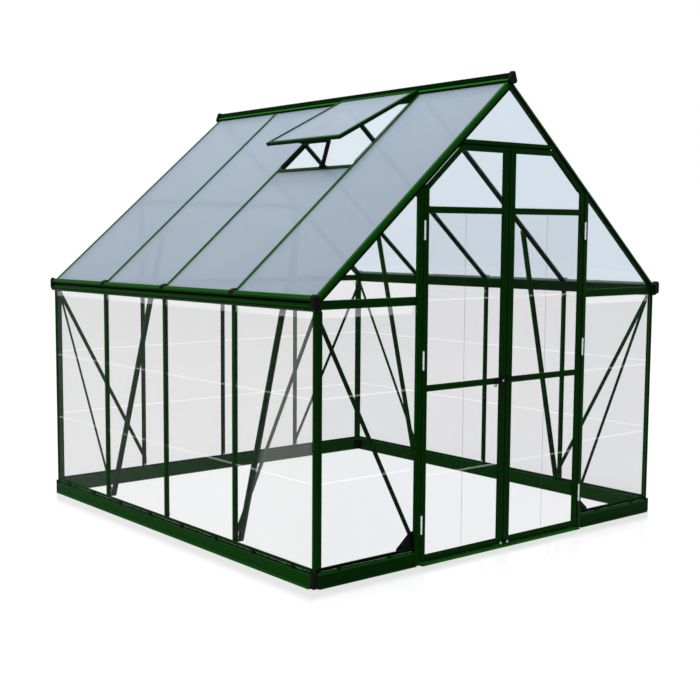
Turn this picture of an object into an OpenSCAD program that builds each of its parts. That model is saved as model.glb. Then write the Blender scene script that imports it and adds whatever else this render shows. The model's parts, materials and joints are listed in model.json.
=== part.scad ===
// Walk-in hobby greenhouse: extruded metal frame, clear wall sheets, twin-wall roof sheets,
// a pair of hinged door leaves and a roof vent that stands open.
// Millimetres. Origin at the centre of the footprint on the ground, +Z up, doors facing -Y.

/* [Overall] */
// Width over the base rails
base_w = 2400; // [2000:10:3200]
// Depth over the base rails
base_d = 2440; // [2000:10:3600]
// Height of the underside of the gutters
eave_h = 1204; // [1100:1:1300]
// Slope of the roof, in degrees
roof_pitch = 40.2; // [39:0.1:42]
// How far the walls stand in from the base's outer face
wall_inset = 8; // [4:1:20]

/* [Base] */
// Height of the base rails
base_h = 75; // [60:1:100]
// Height of the plain lower face of a base rail
base_face_h = 52; // [40:1:56]
// Width of the drip ledge on top of the lower face
ledge_w = 5; // [2:0.5:8]
// Height of the door threshold strip
threshold_h = 10; // [6:1:12]
// How far the threshold reaches in front of the doors
threshold_reach = 23; // [10:1:40]

/* [Wall frame] */
// Width of a square corner post
corner_w = 23; // [18:1:30]
// Width of a wall stud's outer flange
stud_w = 25; // [20:1:32]
// Depth of a wall stud from face to face
stud_depth = 20; // [14:1:22]
// Width of the inner flange of studs and rafters
inner_flange_w = 15; // [12:1:20]
// Thickness of the flanges of studs and rafters
flange_t = 3; // [2:0.5:4]
// Thickness of the webs of studs and rafters
web_t = 8; // [5:1:10]
// Height of the tie bars across the gable walls
tie_h = 39; // [25:1:45]
// Gap between the gutter's underside level and the tie bars
tie_drop = 7; // [0:1:12]

/* [Gutters] */
// Height of the eave beam
beam_h = 57; // [45:1:70]
// How far the eave beam reaches in past the corner posts
beam_lap = 4; // [2:1:10]
// How far the beam's face stands out from the wall
beam_proud = 22; // [15:1:26]
// How far the gutter lip stands out from the wall
lip_proud = 32; // [28:1:40]
// Height of the gutter lip above the beam
lip_rise = 10; // [6:1:16]
// Thickness of the end caps of gutters and ridge
cap_t = 13; // [6:1:20]
// How far an end cap stands proud of the profile it closes
cap_lap = 4; // [2:1:6]

/* [Roof] */
// Depth of a rafter at right angles to the slope
rafter_depth = 30; // [24:1:36]
// Width of a gable rafter
gable_rafter_w = 27; // [20:1:34]
// How far the gable rafters and door posts stand out from the gable wall
gable_proud = 13; // [8:1:20]
// How far the rafters stop short of the wall's face
rafter_foot_inset = 7; // [4:1:10]
// Thickness of the rafter's toe on the eave beam
toe_h = 6; // [4:1:10]
// Width of the ridge beam
ridge_w = 30; // [24:1:40]
// How far the ridge beam rises above the rafters' peak
ridge_rise = 34; // [20:1:45]
// Size of the bevel along the ridge beam's top
ridge_bevel = 8; // [3:1:12]

/* [Roof vent] */
// Distance of the sill bar's upper edge from the ridge, measured level
sill_x = 460; // [350:5:600]
// Width of the sill bar along the slope
sill_w = 25; // [15:1:40]
// Length of the vent frame along its own slope
vent_len = 588; // [480:1:700]
// How far the vent stands open, in degrees above the roof
vent_open = 14; // [8:1:20]
// Height of the vent's hinge line above the rafters' outer face at the ridge
vent_hinge_lift = 3; // [0:1:8]
// Width of the vent frame's rails
vent_rail_w = 22; // [15:1:30]
// Thickness of the vent frame
vent_frame_t = 18; // [12:1:24]
// Gap between the vent frame and each neighbouring bay
vent_side_gap = 5; // [3:1:10]
// Width of the stay's arms
stay_w = 11; // [8:1:16]
// Thickness of the stay's arms and plates
stay_t = 6; // [4:1:8]

/* [Bracing] */
// Width of a diagonal wall brace
brace_w = 18; // [12:1:24]
// Thickness of a diagonal wall brace
brace_t = 3; // [2:0.5:3]
// Height of a brace's lower end above the ground, at its middle
brace_foot_z = 120; // [105:1:180]
// Width of a rafter strut, seen along the building
strut_w = 20; // [14:1:26]
// Thickness of a rafter strut, along the building
strut_t = 12; // [8:1:18]
// Distance of a strut's head from the building's middle plane
strut_head_x = 815; // [700:5:900]
// Length of a door post gusset's sides
gusset_w = 85; // [50:1:110]

/* [Doors] */
// Clear width between the door posts
doorway_w = 1146; // [900:2:1200]
// Width of a door post
door_post_w = 34; // [25:1:45]
// Depth of a door post
door_post_depth = 30; // [26:1:40]
// How far the tops of the door leaves stop below the rafters' inner peak
leaf_drop = 283; // [260:1:340]
// Height of the header above the doors
header_h = 20; // [15:1:30]
// Running gap round the door leaves
leaf_gap = 6; // [5:0.5:8]
// Thickness of a door leaf
leaf_t = 24; // [18:1:26]
// Width of the stile on the hinge side
hinge_stile_w = 33; // [25:1:45]
// Width of the stile where the leaves meet
meeting_stile_w = 42; // [30:1:55]
// Width of the rail that follows the roof's slope
slope_rail_w = 26; // [18:1:32]
// Height of the top rail
top_rail_h = 28; // [20:1:36]
// Height of the other rails
rail_h = 31; // [24:1:40]
// Height of the middle of the latch rail above the ground
latch_rail_z = 827; // [700:1:1000]
// Distance from the top of the leaves down to the middle of the upper rail
upper_rail_drop = 302; // [296:1:380]

/* [Hinges and latch] */
// Height of the lowest hinge's middle above the ground
hinge_low_z = 193; // [120:1:300]
// Height of the middle hinge's middle above the ground
hinge_mid_z = 958; // [890:1:1100]
// Distance from the top of the leaves down to the highest hinge's middle
hinge_top_drop = 395; // [360:1:460]
// Height of a hinge
hinge_h = 88; // [60:1:110]
// Radius of a hinge's barrel
barrel_r = 6; // [5:0.5:8]
// Radius of a hinge's pin
pin_r = 2.5; // [2:0.1:3.5]
// Running clearance between the pin and its bore
pin_play = 0.3; // [0.2:0.05:0.5]
// Gap between the knuckles of a hinge
knuckle_gap = 1; // [0.5:0.1:2]
// Width of a hinge's plates
hinge_plate_w = 16; // [10:1:22]
// Thickness of a hinge's plates
hinge_plate_t = 3; // [2:0.5:4]
// Length of the latch lever
lever_len = 82; // [60:1:110]
// Length of the latch keeper
keeper_len = 34; // [20:1:40]
// Thickness of the latch pieces
latch_t = 8; // [5:1:10]

/* [Sheets] */
// Thickness of the clear wall sheets
wall_sheet_t = 3; // [2:0.5:4]
// Thickness of the twin-wall roof sheets
roof_sheet_t = 4; // [4:1:6]
// Thickness of the door and vent sheets
door_sheet_t = 4; // [3:0.5:6]

/* [Hidden] */
$fn = 48;
slope = tan(roof_pitch);

// Walls
wx = base_w / 2 - wall_inset;
wy = base_d / 2 - wall_inset;
corner_x = wx - corner_w;
corner_y = wy - corner_w;
base_t = corner_w + wall_inset;
bay_y = base_d / 4;
bay_x = base_w / 4;
stud_ys = [-bay_y, 0, bay_y];
stud_xs = [-bay_x, 0, bay_x];

// Eaves
beam_top = eave_h + beam_h;
beam_in = corner_x - beam_lap;
gable_y = wy + gable_proud;
tie_z0 = eave_h + tie_drop;
tie_z1 = tie_z0 + tie_h;

// Roof: a rafter's outer face and underside are straight lines over the distance from the ridge
foot_x = wx - rafter_foot_inset;
roof_peak = beam_top + toe_h + slope * foot_x;
under_peak = roof_peak - rafter_depth / cos(roof_pitch);
function roof_z(x) = roof_peak - slope * x;
function under_z(x) = under_peak - slope * x;
function under_x(z) = (under_peak - z) / slope;
ridge_x = ridge_w / 2;
ridge_bottom = under_z(ridge_x);
ridge_top = roof_peak + ridge_rise;
sheet_foot_x = foot_x - 5;
roof_len = base_w;

// Vent
sill_s = sill_x / cos(roof_pitch);
vent_pitch = roof_pitch - vent_open;
vent_hinge_z = roof_z(ridge_x) + vent_hinge_lift;
vent_y0 = -bay_y + vent_side_gap;
vent_y1 = -vent_side_gap;
stay_y = -0.57 * bay_y;
stay_far_y = -0.88 * bay_y;

// Doors
leaf_top = under_peak - leaf_drop;
upper_rail_z = leaf_top - upper_rail_drop;
hinge_zs = [hinge_low_z, hinge_mid_z, leaf_top - hinge_top_drop];
post_in = doorway_w / 2;
post_out = post_in + door_post_w;
leaf_x0 = leaf_gap / 2;
leaf_x1 = post_in - leaf_gap;
leaf_z0 = threshold_h + leaf_gap;
stile_in = leaf_x1 - hinge_stile_w;
meet_in = leaf_x0 + meeting_stile_w;
leaf_peak = under_peak - leaf_gap / cos(roof_pitch);
leaf_inner_peak = leaf_peak - slope_rail_w / cos(roof_pitch);
function leaf_z(x) = leaf_peak - slope * x;
function leaf_inner_z(x) = leaf_inner_peak - slope * x;
function leaf_x(z) = (leaf_peak - z) / slope;
function leaf_inner_x(z) = (leaf_inner_peak - z) / slope;
header_z0 = leaf_top + leaf_gap;
header_z1 = header_z0 + header_h;
leaf_y0 = -gable_y;
leaf_y1 = -gable_y + leaf_t;
post_y1 = -gable_y + door_post_depth;
hinge_x = leaf_x1 + leaf_gap / 2;
hinge_y = leaf_y0 - barrel_r - knuckle_gap;

// Colours
green = "#1c4a22";
black = "#161616";
clear = [0.86, 0.88, 0.88, 0.4];
twin = [0.66, 0.72, 0.78, 0.6];
grey = "#a9adab";

// ---- Helpers -------------------------------------------------------------------------------

// A box from its lowest and highest corners
module block(lo, hi) translate(lo) cube(hi - lo);

// A profile drawn in X and Z, carried along Y from y0 to y1
module along_y(y0, y1) translate([0, y1, 0]) rotate([90, 0, 0]) linear_extrude(y1 - y0) children();

// A profile drawn in Y and Z, carried along X from x0 to x1
module along_x(x0, x1) translate([x0, 0, 0]) rotate([90, 0, 90]) linear_extrude(x1 - x0) children();

module both_sides() {
    children();
    mirror([1, 0, 0]) children();
}

module both_ends() {
    children();
    mirror([0, 1, 0]) children();
}

// Local frame of the right roof slope: X down the slope, Z out of it, zero on the outer face
module on_roof() translate([0, 0, roof_peak]) rotate([0, roof_pitch, 0]) children();

// Local frame of the open vent on the right slope, zero on the frame's underside
module on_vent() translate([ridge_x, 0, vent_hinge_z]) rotate([0, vent_pitch, 0]) children();

// Space that a right-hand rafter fills between the ridge beam and its notch on the eave beam
module rafter_zone(y0, y1) along_y(y0, y1) polygon([
    [ridge_x, beam_in * 0.5], [ridge_x, ridge_top], [foot_x, ridge_top],
    [foot_x, beam_top], [beam_in, beam_top], [beam_in, beam_in * 0.5]
]);

// ---- Base ----------------------------------------------------------------------------------

// Cross-section of a base rail: X out of the building from the rail's inner face
module base_profile() {
    step = base_t - wall_inset;
    ledge_x = step + ledge_w;
    polygon([
        [0, 0], [base_t, 0], [base_t, base_face_h - 3], [ledge_x, base_face_h],
        [ledge_x, base_face_h + 4], [step, base_face_h + 4 + ledge_w], [step, base_h], [0, base_h]
    ]);
}

module base_side_rails() color(green) both_sides()
    along_y(-corner_y, corner_y) translate([corner_x, 0]) base_profile();

// A rail across the building on the +Y side, from x0 to x1
module cross_rail(x0, x1) along_x(x0, x1) translate([corner_y, 0]) base_profile();

module base_back_rail() color(green) cross_rail(-corner_x, corner_x);

module base_front_rails() color(green) both_sides()
    mirror([0, 1, 0]) cross_rail(post_out, corner_x);

module base_corner_blocks() color(black) both_ends() both_sides()
    block([corner_x, corner_y, 0], [base_w / 2, base_d / 2, base_face_h]);

module door_threshold() color(green)
    block([-post_in, -gable_y - threshold_reach, 0], [post_in, post_y1, threshold_h]);

// ---- Wall frame ----------------------------------------------------------------------------

module corner_posts() color(green) both_ends() both_sides()
    block([corner_x, corner_y, base_face_h], [wx, wy, eave_h]);

// Stud profile: X out of the wall with zero on the outer face, Y along the wall
module stud_profile() {
    translate([-flange_t, -stud_w / 2]) square([flange_t, stud_w]);
    translate([-stud_depth, -web_t / 2]) square([stud_depth, web_t]);
    translate([-stud_depth, -inner_flange_w / 2]) square([flange_t, inner_flange_w]);
}

module side_wall_studs() color(green) both_sides() for (y = stud_ys)
    translate([wx, y, base_h]) linear_extrude(eave_h - base_h) stud_profile();

// A stud of the back wall at x, up to the height top
module back_stud(x, top) translate([x, wy, base_h]) rotate([0, 0, 90])
    linear_extrude(top - base_h) stud_profile();

module back_wall_studs() color(green) {
    back_stud(0, tie_z0);
    both_sides() intersection() {
        back_stud(bay_x, under_z(0));
        along_y(corner_y, wy) polygon([
            [bay_x - stud_w, base_h], [bay_x + stud_w, base_h],
            [bay_x + stud_w, under_z(bay_x + stud_w)], [bay_x - stud_w, under_z(bay_x - stud_w)]
        ]);
    }
}

module door_posts() color(green) both_sides() along_y(-gable_y, post_y1) polygon([
    [post_in, 0], [post_out, 0], [post_out, under_z(post_out)], [post_in, under_z(post_in)]
]);

module door_header() color(green) along_y(-gable_y, post_y1) polygon([
    [-under_x(header_z0), header_z0], [under_x(header_z0), header_z0],
    [under_x(header_z1), header_z1], [-under_x(header_z1), header_z1]
]);

// Tie bar of a gable wall between x0 and the eave beam, its corner cut along the rafter
module end_tie(x0) along_y(wy - stud_depth, wy) polygon([
    [x0, tie_z0], [beam_in, tie_z0], [beam_in, min(tie_z1, under_z(beam_in))],
    [min(beam_in, under_x(tie_z1)), tie_z1], [x0, tie_z1]
]);

module front_tie_bars() color(green) mirror([0, 1, 0]) both_sides() end_tie(post_out);

module back_tie_bars() color(green) {
    both_sides() end_tie(bay_x + stud_w / 2);
    block([stud_w / 2 - bay_x, wy - stud_depth, tie_z0], [bay_x - stud_w / 2, wy, tie_z1]);
}

// Bar between the two tall studs of the back wall, cut along the rafters
collar_x = bay_x - stud_w / 2;
collar_z0 = under_z(bay_x) - tie_h / 2 + 3;
collar_z1 = collar_z0 + tie_h;
module back_gable_collar() color(green) along_y(wy - stud_depth, wy) polygon([
    [-collar_x, collar_z0], [collar_x, collar_z0], [collar_x, under_z(collar_x)],
    [under_x(collar_z1), collar_z1], [-under_x(collar_z1), collar_z1], [-collar_x, under_z(collar_x)]
]);

// ---- Gutters and ridge ---------------------------------------------------------------------

// Eave beam with its gutter on top, seen from the end
module gutter_profile() {
    groove_z = eave_h + 0.65 * beam_h;
    lip_x = wx + lip_proud;
    trough_x = foot_x + 14;
    polygon([
        [beam_in, eave_h], [wx + beam_proud, eave_h], [wx + beam_proud, groove_z],
        [wx + beam_proud - 8, groove_z + 3], [wx + beam_proud - 8, groove_z + 9],
        [lip_x, groove_z + 12], [lip_x, beam_top + lip_rise], [lip_x - 4, beam_top + lip_rise],
        [lip_x - 4, beam_top - 4], [trough_x, beam_top - 4], [trough_x, beam_top], [beam_in, beam_top]
    ]);
}

module right_gutter() color(green) along_y(-gable_y, gable_y) gutter_profile();

module left_gutter() mirror([1, 0, 0]) right_gutter();

module gutter_end_caps() color(black) both_ends() both_sides() along_y(gable_y, gable_y + cap_t) polygon([
    [beam_in, eave_h - 2], [wx + lip_proud, eave_h - 2], [wx + lip_proud + cap_lap, eave_h + 4],
    [wx + lip_proud + cap_lap, beam_top + lip_rise], [wx + lip_proud, beam_top + lip_rise + cap_lap],
    [beam_in, beam_top + lip_rise + cap_lap]
]);

module ridge_beam() color(green) along_y(-gable_y, gable_y) polygon([
    [-ridge_x, ridge_bottom], [ridge_x, ridge_bottom], [ridge_x, ridge_top - ridge_bevel],
    [ridge_x - ridge_bevel, ridge_top], [ridge_bevel - ridge_x, ridge_top],
    [-ridge_x, ridge_top - ridge_bevel]
]);

module ridge_end_caps() color(black) both_ends() along_y(gable_y, gable_y + cap_t) polygon([
    [-ridge_x - cap_lap, ridge_bottom + 28], [ridge_x + cap_lap, ridge_bottom + 28],
    [ridge_x + cap_lap, ridge_top - 3], [ridge_x - cap_lap, ridge_top + 2 * cap_lap],
    [cap_lap - ridge_x, ridge_top + 2 * cap_lap], [-ridge_x - cap_lap, ridge_top - 3]
]);

// ---- Rafters -------------------------------------------------------------------------------

module gable_rafter() intersection() {
    on_roof() block([-roof_len, gable_y - gable_rafter_w, -rafter_depth], [roof_len, gable_y, 0]);
    rafter_zone(0, base_d);
}

module back_gable_rafters() color(green) both_sides() gable_rafter();

module front_gable_rafters() color(green) mirror([0, 1, 0]) both_sides() gable_rafter();

module rafter_at(y) intersection() {
    on_roof() translate([0, y, 0]) {
        block([-roof_len, -stud_w / 2, -flange_t], [roof_len, stud_w / 2, 0]);
        block([-roof_len, -web_t / 2, -rafter_depth], [roof_len, web_t / 2, 0]);
        block([-roof_len, -inner_flange_w / 2, -rafter_depth],
            [roof_len, inner_flange_w / 2, flange_t - rafter_depth]);
    }
    rafter_zone(-base_d, base_d);
}

module right_rafters() color(green) for (y = stud_ys) rafter_at(y);

module left_rafters() color(green) mirror([1, 0, 0]) for (y = stud_ys) rafter_at(y);

module rafter_foot_caps() color(black) both_sides() for (y = stud_ys)
    block([foot_x, y - stud_w / 2 - 1, beam_top], [foot_x + 12, y + stud_w / 2 + 1, beam_top + lip_rise]);

// ---- Bracing -------------------------------------------------------------------------------

// Flat diagonal bar as a profile: from the upright at u1 (top) down to the one at u0
module brace_profile(u0, u1) {
    rise = eave_h - brace_foot_z;
    tall = brace_w * sqrt(pow(u1 - u0, 2) + pow(rise, 2)) / (u1 - u0);
    polygon([
        [u1, eave_h], [u1, eave_h - tall], [u0, brace_foot_z - tall / 2], [u0, brace_foot_z + tall / 2]
    ]);
}

module side_wall_braces() color(green) both_ends() both_sides()
    along_x(wx - stud_depth - brace_t, wx - stud_depth) brace_profile(bay_y - web_t, corner_y);

module back_wall_braces() color(green) both_sides()
    along_y(wy - stud_depth - brace_t, wy - stud_depth) brace_profile(bay_x - web_t, corner_x);

module front_wall_braces() color(green) mirror([0, 1, 0]) both_sides()
    along_y(wy - stud_depth - brace_t, wy - stud_depth)
        brace_profile(post_out - door_post_w / 2, corner_x);

// Strut from a stud's foot up to the rafter above it. Its outer edge is cut flat where it seats.
strut_seat_x = wx - stud_depth - brace_t;
strut_z0 = base_h + 5;
strut_foot_x = strut_seat_x - 2;
strut_lean = (strut_head_x - strut_foot_x) / (under_z(strut_head_x) - strut_z0);
strut_half = strut_w / 2 * sqrt(1 + pow(strut_lean, 2));
function strut_x(z, off) = strut_foot_x + off + strut_lean * (z - strut_z0);
function strut_head_z(off) =
    (under_peak - slope * (strut_foot_x + off - strut_lean * strut_z0)) / (1 + slope * strut_lean);
strut_seat_z = strut_z0 + (strut_seat_x - strut_foot_x - strut_half) / strut_lean;

module strut_profile() polygon([
    [strut_x(strut_z0, -strut_half), strut_z0], [strut_seat_x, strut_z0], [strut_seat_x, strut_seat_z],
    [strut_x(strut_head_z(strut_half), strut_half), strut_head_z(strut_half)],
    [strut_x(strut_head_z(-strut_half), -strut_half), strut_head_z(-strut_half)]
]);

module rafter_struts() color(green) both_sides() for (y = [-bay_y, bay_y])
    along_y(y - strut_t / 2, y + strut_t / 2) strut_profile();

module door_post_gussets() color(black) both_sides()
    along_y(post_y1, stud_depth - wy) polygon([
        [post_in, base_h], [post_out + gusset_w, base_h], [post_out + gusset_w, base_h + 15],
        [post_out, base_h + gusset_w], [post_in, base_h + gusset_w]
    ]);

// ---- Wall sheets ---------------------------------------------------------------------------

sheet_face = flange_t;
edge_gap = 0.3;
sheet_back = flange_t + wall_sheet_t;
side_bays = [
    [-corner_y, -bay_y - web_t / 2], [-bay_y + web_t / 2, -web_t / 2],
    [web_t / 2, bay_y - web_t / 2], [bay_y + web_t / 2, corner_y]
];

module right_wall_sheets() color(clear) for (b = side_bays)
    block([wx - sheet_back, b[0], base_h], [wx - sheet_face, b[1], eave_h]);

module left_wall_sheets() mirror([1, 0, 0]) right_wall_sheets();

// A sheet in a gable wall on the +Y side, from a profile in X and Z
module gable_sheet() along_y(wy - sheet_back, wy - sheet_face) children();

// Sheet between an upright at x0 and the corner post, its upper corner cut round the eave beam
module corner_sheet(x0) polygon([
    [x0, base_h], [corner_x, base_h], [corner_x, eave_h], [beam_in, eave_h], [beam_in, tie_z0],
    [x0, tie_z0]
]);

module back_wall_sheets() color(clear) both_sides() gable_sheet() {
    translate([web_t / 2, base_h]) square([bay_x - web_t, tie_z0 - base_h]);
    corner_sheet(bay_x + web_t / 2);
}

module front_wall_sheets() color(clear) mirror([0, 1, 0]) both_sides() gable_sheet()
    corner_sheet(post_out);

// Triangle between an upright at x0, the tie bar and the rafter
module eave_triangle(x0) polygon([
    [x0, tie_z1], [under_x(tie_z1 + edge_gap), tie_z1], [x0, under_z(x0) - edge_gap]
]);

// Triangle under the ridge, above the height z
module ridge_triangle(z) polygon([
    [-under_x(z + edge_gap), z], [under_x(z + edge_gap), z], [ridge_x, ridge_bottom - edge_gap],
    [-ridge_x, ridge_bottom - edge_gap]
]);

module front_gable_sheets() color(clear) mirror([0, 1, 0]) gable_sheet() {
    both_sides() eave_triangle(post_out);
    ridge_triangle(header_z1);
}

module back_gable_sheets() color(clear) gable_sheet() {
    both_sides() eave_triangle(bay_x + web_t / 2);
    translate([web_t / 2 - bay_x, tie_z1]) square([2 * bay_x - web_t, collar_z0 - tie_z1]);
    ridge_triangle(collar_z1);
}

// ---- Roof sheets ---------------------------------------------------------------------------

// A roof sheet of the right slope between y0 and y1, from the distance x0 to x1 off the ridge
module roof_sheet(y0, y1, x0, x1) intersection() {
    on_roof() block([-roof_len, y0, -flange_t - roof_sheet_t], [roof_len, y1, -flange_t]);
    block([x0, -base_d, beam_top], [x1, base_d, ridge_top]);
}

roof_edge_y = gable_y - gable_rafter_w;
roof_bays = [
    [-roof_edge_y, -bay_y - web_t / 2], [-bay_y + web_t / 2, -web_t / 2],
    [web_t / 2, bay_y - web_t / 2], [bay_y + web_t / 2, roof_edge_y]
];
vent_bay = 1;

module right_roof_sheets() color(twin) for (b = roof_bays)
    roof_sheet(b[0], b[1], ridge_x, sheet_foot_x);

module left_roof_sheets() color(twin) mirror([1, 0, 0]) for (i = [0:3])
    if (i != vent_bay) roof_sheet(roof_bays[i][0], roof_bays[i][1], ridge_x, sheet_foot_x);
    else difference() {
        roof_sheet(roof_bays[i][0], roof_bays[i][1], ridge_x, sheet_foot_x);
        on_roof() block([-roof_len, -base_d, -rafter_depth], [sill_s + sill_w, base_d, rafter_depth]);
    }

// ---- Roof vent -----------------------------------------------------------------------------

module vent_sill() color(green) mirror([1, 0, 0]) on_roof()
    block([sill_s, -bay_y + stud_w / 2, 5 - rafter_depth], [sill_s + sill_w, -stud_w / 2, 0]);

// The part of the vent that lies outside the ridge beam's side
module clear_of_ridge() intersection() {
    children();
    block([ridge_x, -base_d, 0], [base_w, base_d, 2 * ridge_top]);
}

vent_in0 = vent_y0 + vent_rail_w;
vent_in1 = vent_y1 - vent_rail_w;
vent_lower_s = vent_len - vent_rail_w;

module vent_side_rails() color(green) mirror([1, 0, 0]) clear_of_ridge() on_vent() {
    block([-vent_frame_t, vent_y0, 0], [vent_len, vent_in0, vent_frame_t]);
    block([-vent_frame_t, vent_in1, 0], [vent_len, vent_y1, vent_frame_t]);
}

module vent_cross_rails() color(green) mirror([1, 0, 0]) clear_of_ridge() on_vent() {
    block([-vent_frame_t, vent_in0, 0], [vent_rail_w, vent_in1, vent_frame_t]);
    block([vent_lower_s, vent_in0, 0], [vent_len, vent_in1, vent_frame_t]);
}

module vent_sheet() color(twin) mirror([1, 0, 0]) on_vent()
    block([vent_rail_w, vent_in0, vent_frame_t - 4 - door_sheet_t],
        [vent_lower_s, vent_in1, vent_frame_t - 4]);

// A flat bar between two points
module stay_bar(p, q) {
    d = q - p;
    translate(p) rotate([0, acos(d[2] / norm(d)), atan2(d[1], d[0])])
        translate([-stay_t / 2, -stay_w / 2, 0]) cube([stay_t, stay_w, norm(d)]);
}

module vent_stay_plates() color(black) mirror([1, 0, 0]) {
    on_roof() block([sill_s + 2, stay_y - 20, 0], [sill_s + sill_w - 2, stay_y + 20, stay_t]);
    on_vent() block([vent_lower_s - 6, stay_far_y - 10, -stay_t], [vent_lower_s + 10, stay_y + 12, 0]);
}

stay_foot_x = sill_x + 8;
stay_foot_z = roof_z(stay_foot_x) + stay_t;
stay_head_x = ridge_x + vent_lower_s * cos(vent_pitch);
stay_head_z = vent_hinge_z - vent_lower_s * sin(vent_pitch) - stay_t / 2;
stay_spread = stay_w * 0.75;

// The two arms stand side by side on the foot plate and are cut flush with both plates
module vent_stay_arms() color(black) mirror([1, 0, 0]) intersection() {
    union() {
        stay_bar([stay_foot_x, stay_y + stay_spread, stay_foot_z - stay_t],
            [stay_head_x, stay_y + 4, stay_head_z]);
        stay_bar([stay_foot_x, stay_y - stay_spread, stay_foot_z - stay_t],
            [stay_head_x, stay_far_y, stay_head_z]);
    }
    on_roof() block([0, -base_d, stay_t], [roof_len, base_d, roof_len]);
    on_vent() block([0, -base_d, -roof_len], [roof_len, base_d, -stay_t]);
}

// ---- Doors: one leaf is drawn on the right and mirrored for the left -------------------------

// A piece of a leaf, as thick as the leaf, from a profile in X and Z
module leaf_piece() along_y(leaf_y0, leaf_y1) children();

module leaf_stiles() leaf_piece() {
    polygon([
        [stile_in, leaf_z0], [leaf_x1, leaf_z0], [leaf_x1, leaf_z(leaf_x1)], [stile_in, leaf_z(stile_in)]
    ]);
    translate([leaf_x0, leaf_z0]) square([meeting_stile_w, leaf_top - leaf_z0]);
}

top_rail_z0 = leaf_top - top_rail_h;
mid_rail_z0 = latch_rail_z - rail_h / 2;
upper_rail_z0 = upper_rail_z - rail_h / 2;

module leaf_rails() leaf_piece() {
    for (z = [leaf_z0, mid_rail_z0, upper_rail_z0])
        translate([meet_in, z]) square([stile_in - meet_in, rail_h]);
    polygon([
        [meet_in, top_rail_z0], [leaf_inner_x(top_rail_z0), top_rail_z0],
        [leaf_x(leaf_top), leaf_top], [meet_in, leaf_top]
    ]);
}

module leaf_slope_rail() leaf_piece() polygon([
    [leaf_x(leaf_top), leaf_top], [leaf_inner_x(top_rail_z0), top_rail_z0],
    [stile_in, leaf_inner_z(stile_in)], [stile_in, leaf_z(stile_in)]
]);

module leaf_sheets() along_y(leaf_y0 + 9, leaf_y0 + 9 + door_sheet_t) {
    translate([meet_in, leaf_z0 + rail_h])
        square([stile_in - meet_in, mid_rail_z0 - leaf_z0 - rail_h]);
    translate([meet_in, mid_rail_z0 + rail_h])
        square([stile_in - meet_in, upper_rail_z0 - mid_rail_z0 - rail_h]);
    polygon([
        [meet_in, upper_rail_z0 + rail_h], [stile_in, upper_rail_z0 + rail_h],
        [stile_in, leaf_inner_z(stile_in)], [leaf_inner_x(top_rail_z0), top_rail_z0],
        [meet_in, top_rail_z0]
    ]);
}

// Plate of a hinge half, from the barrel's side outwards: side is +1 on the post, -1 on the leaf
module hinge_plate(side, z, h) {
    near = hinge_x + side * (barrel_r + 0.5);
    far = near + side * hinge_plate_w;
    block([min(near, far), leaf_y0 - hinge_plate_t, z], [max(near, far), leaf_y0, z + h]);
}

// Knuckle of a hinge half: its barrel and the neck that joins it to the plate
module knuckle(side, z, h) {
    translate([hinge_x, hinge_y, z]) cylinder(r = barrel_r, h = h);
    block([min(hinge_x, hinge_x + side * (barrel_r + 1)), leaf_y0 - hinge_plate_t - 1, z],
        [max(hinge_x, hinge_x + side * (barrel_r + 1)), leaf_y0 - 0.5, z + h]);
}

knuckle_h = hinge_h / 4;

module post_hinges() for (zm = hinge_zs) {
    z = zm - hinge_h / 2;
    hinge_plate(1, z, hinge_h);
    knuckle(1, z, knuckle_h);
    knuckle(1, z + hinge_h - knuckle_h, knuckle_h);
    translate([hinge_x, hinge_y, z]) cylinder(r = pin_r, h = hinge_h);
}

module leaf_hinges() for (zm = hinge_zs) {
    z = zm - hinge_h / 2;
    difference() {
        union() {
            hinge_plate(-1, z + knuckle_h + knuckle_gap, hinge_h - 2 * knuckle_h - 2 * knuckle_gap);
            knuckle(-1, z + knuckle_h + knuckle_gap, hinge_h - 2 * knuckle_h - 2 * knuckle_gap);
        }
        translate([hinge_x, hinge_y, z]) cylinder(r = pin_r + pin_play, h = hinge_h);
    }
}

module door_frame_hinges() color(grey) both_sides() post_hinges();

module right_door_stiles() color(green) leaf_stiles();
module right_door_rails() color(green) leaf_rails();
module right_door_slope_rail() color(green) leaf_slope_rail();
module right_door_sheets() color(clear) leaf_sheets();
module right_door_hinges() color(grey) leaf_hinges();
module left_door_stiles() color(green) mirror([1, 0, 0]) leaf_stiles();
module left_door_rails() color(green) mirror([1, 0, 0]) leaf_rails();
module left_door_slope_rail() color(green) mirror([1, 0, 0]) leaf_slope_rail();
module left_door_sheets() color(clear) mirror([1, 0, 0]) leaf_sheets();
module left_door_hinges() color(grey) mirror([1, 0, 0]) leaf_hinges();

// Tapered latch lever on the right leaf and its keeper on the left leaf
module right_door_latch() color(black) along_y(leaf_y0 - latch_t, leaf_y0) polygon([
    [leaf_x0 + 3, latch_rail_z - 11], [leaf_x0 + 24, latch_rail_z - 11],
    [leaf_x0 + 3 + lever_len, latch_rail_z - 4], [leaf_x0 + 3 + lever_len, latch_rail_z + 4],
    [leaf_x0 + 24, latch_rail_z + 11], [leaf_x0 + 3, latch_rail_z + 11]
]);

module left_door_keeper() color(black)
    block([-leaf_x0 - 3 - keeper_len, leaf_y0 - latch_t, latch_rail_z - 12],
        [-leaf_x0 - 3, leaf_y0, latch_rail_z + 12]);

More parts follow.
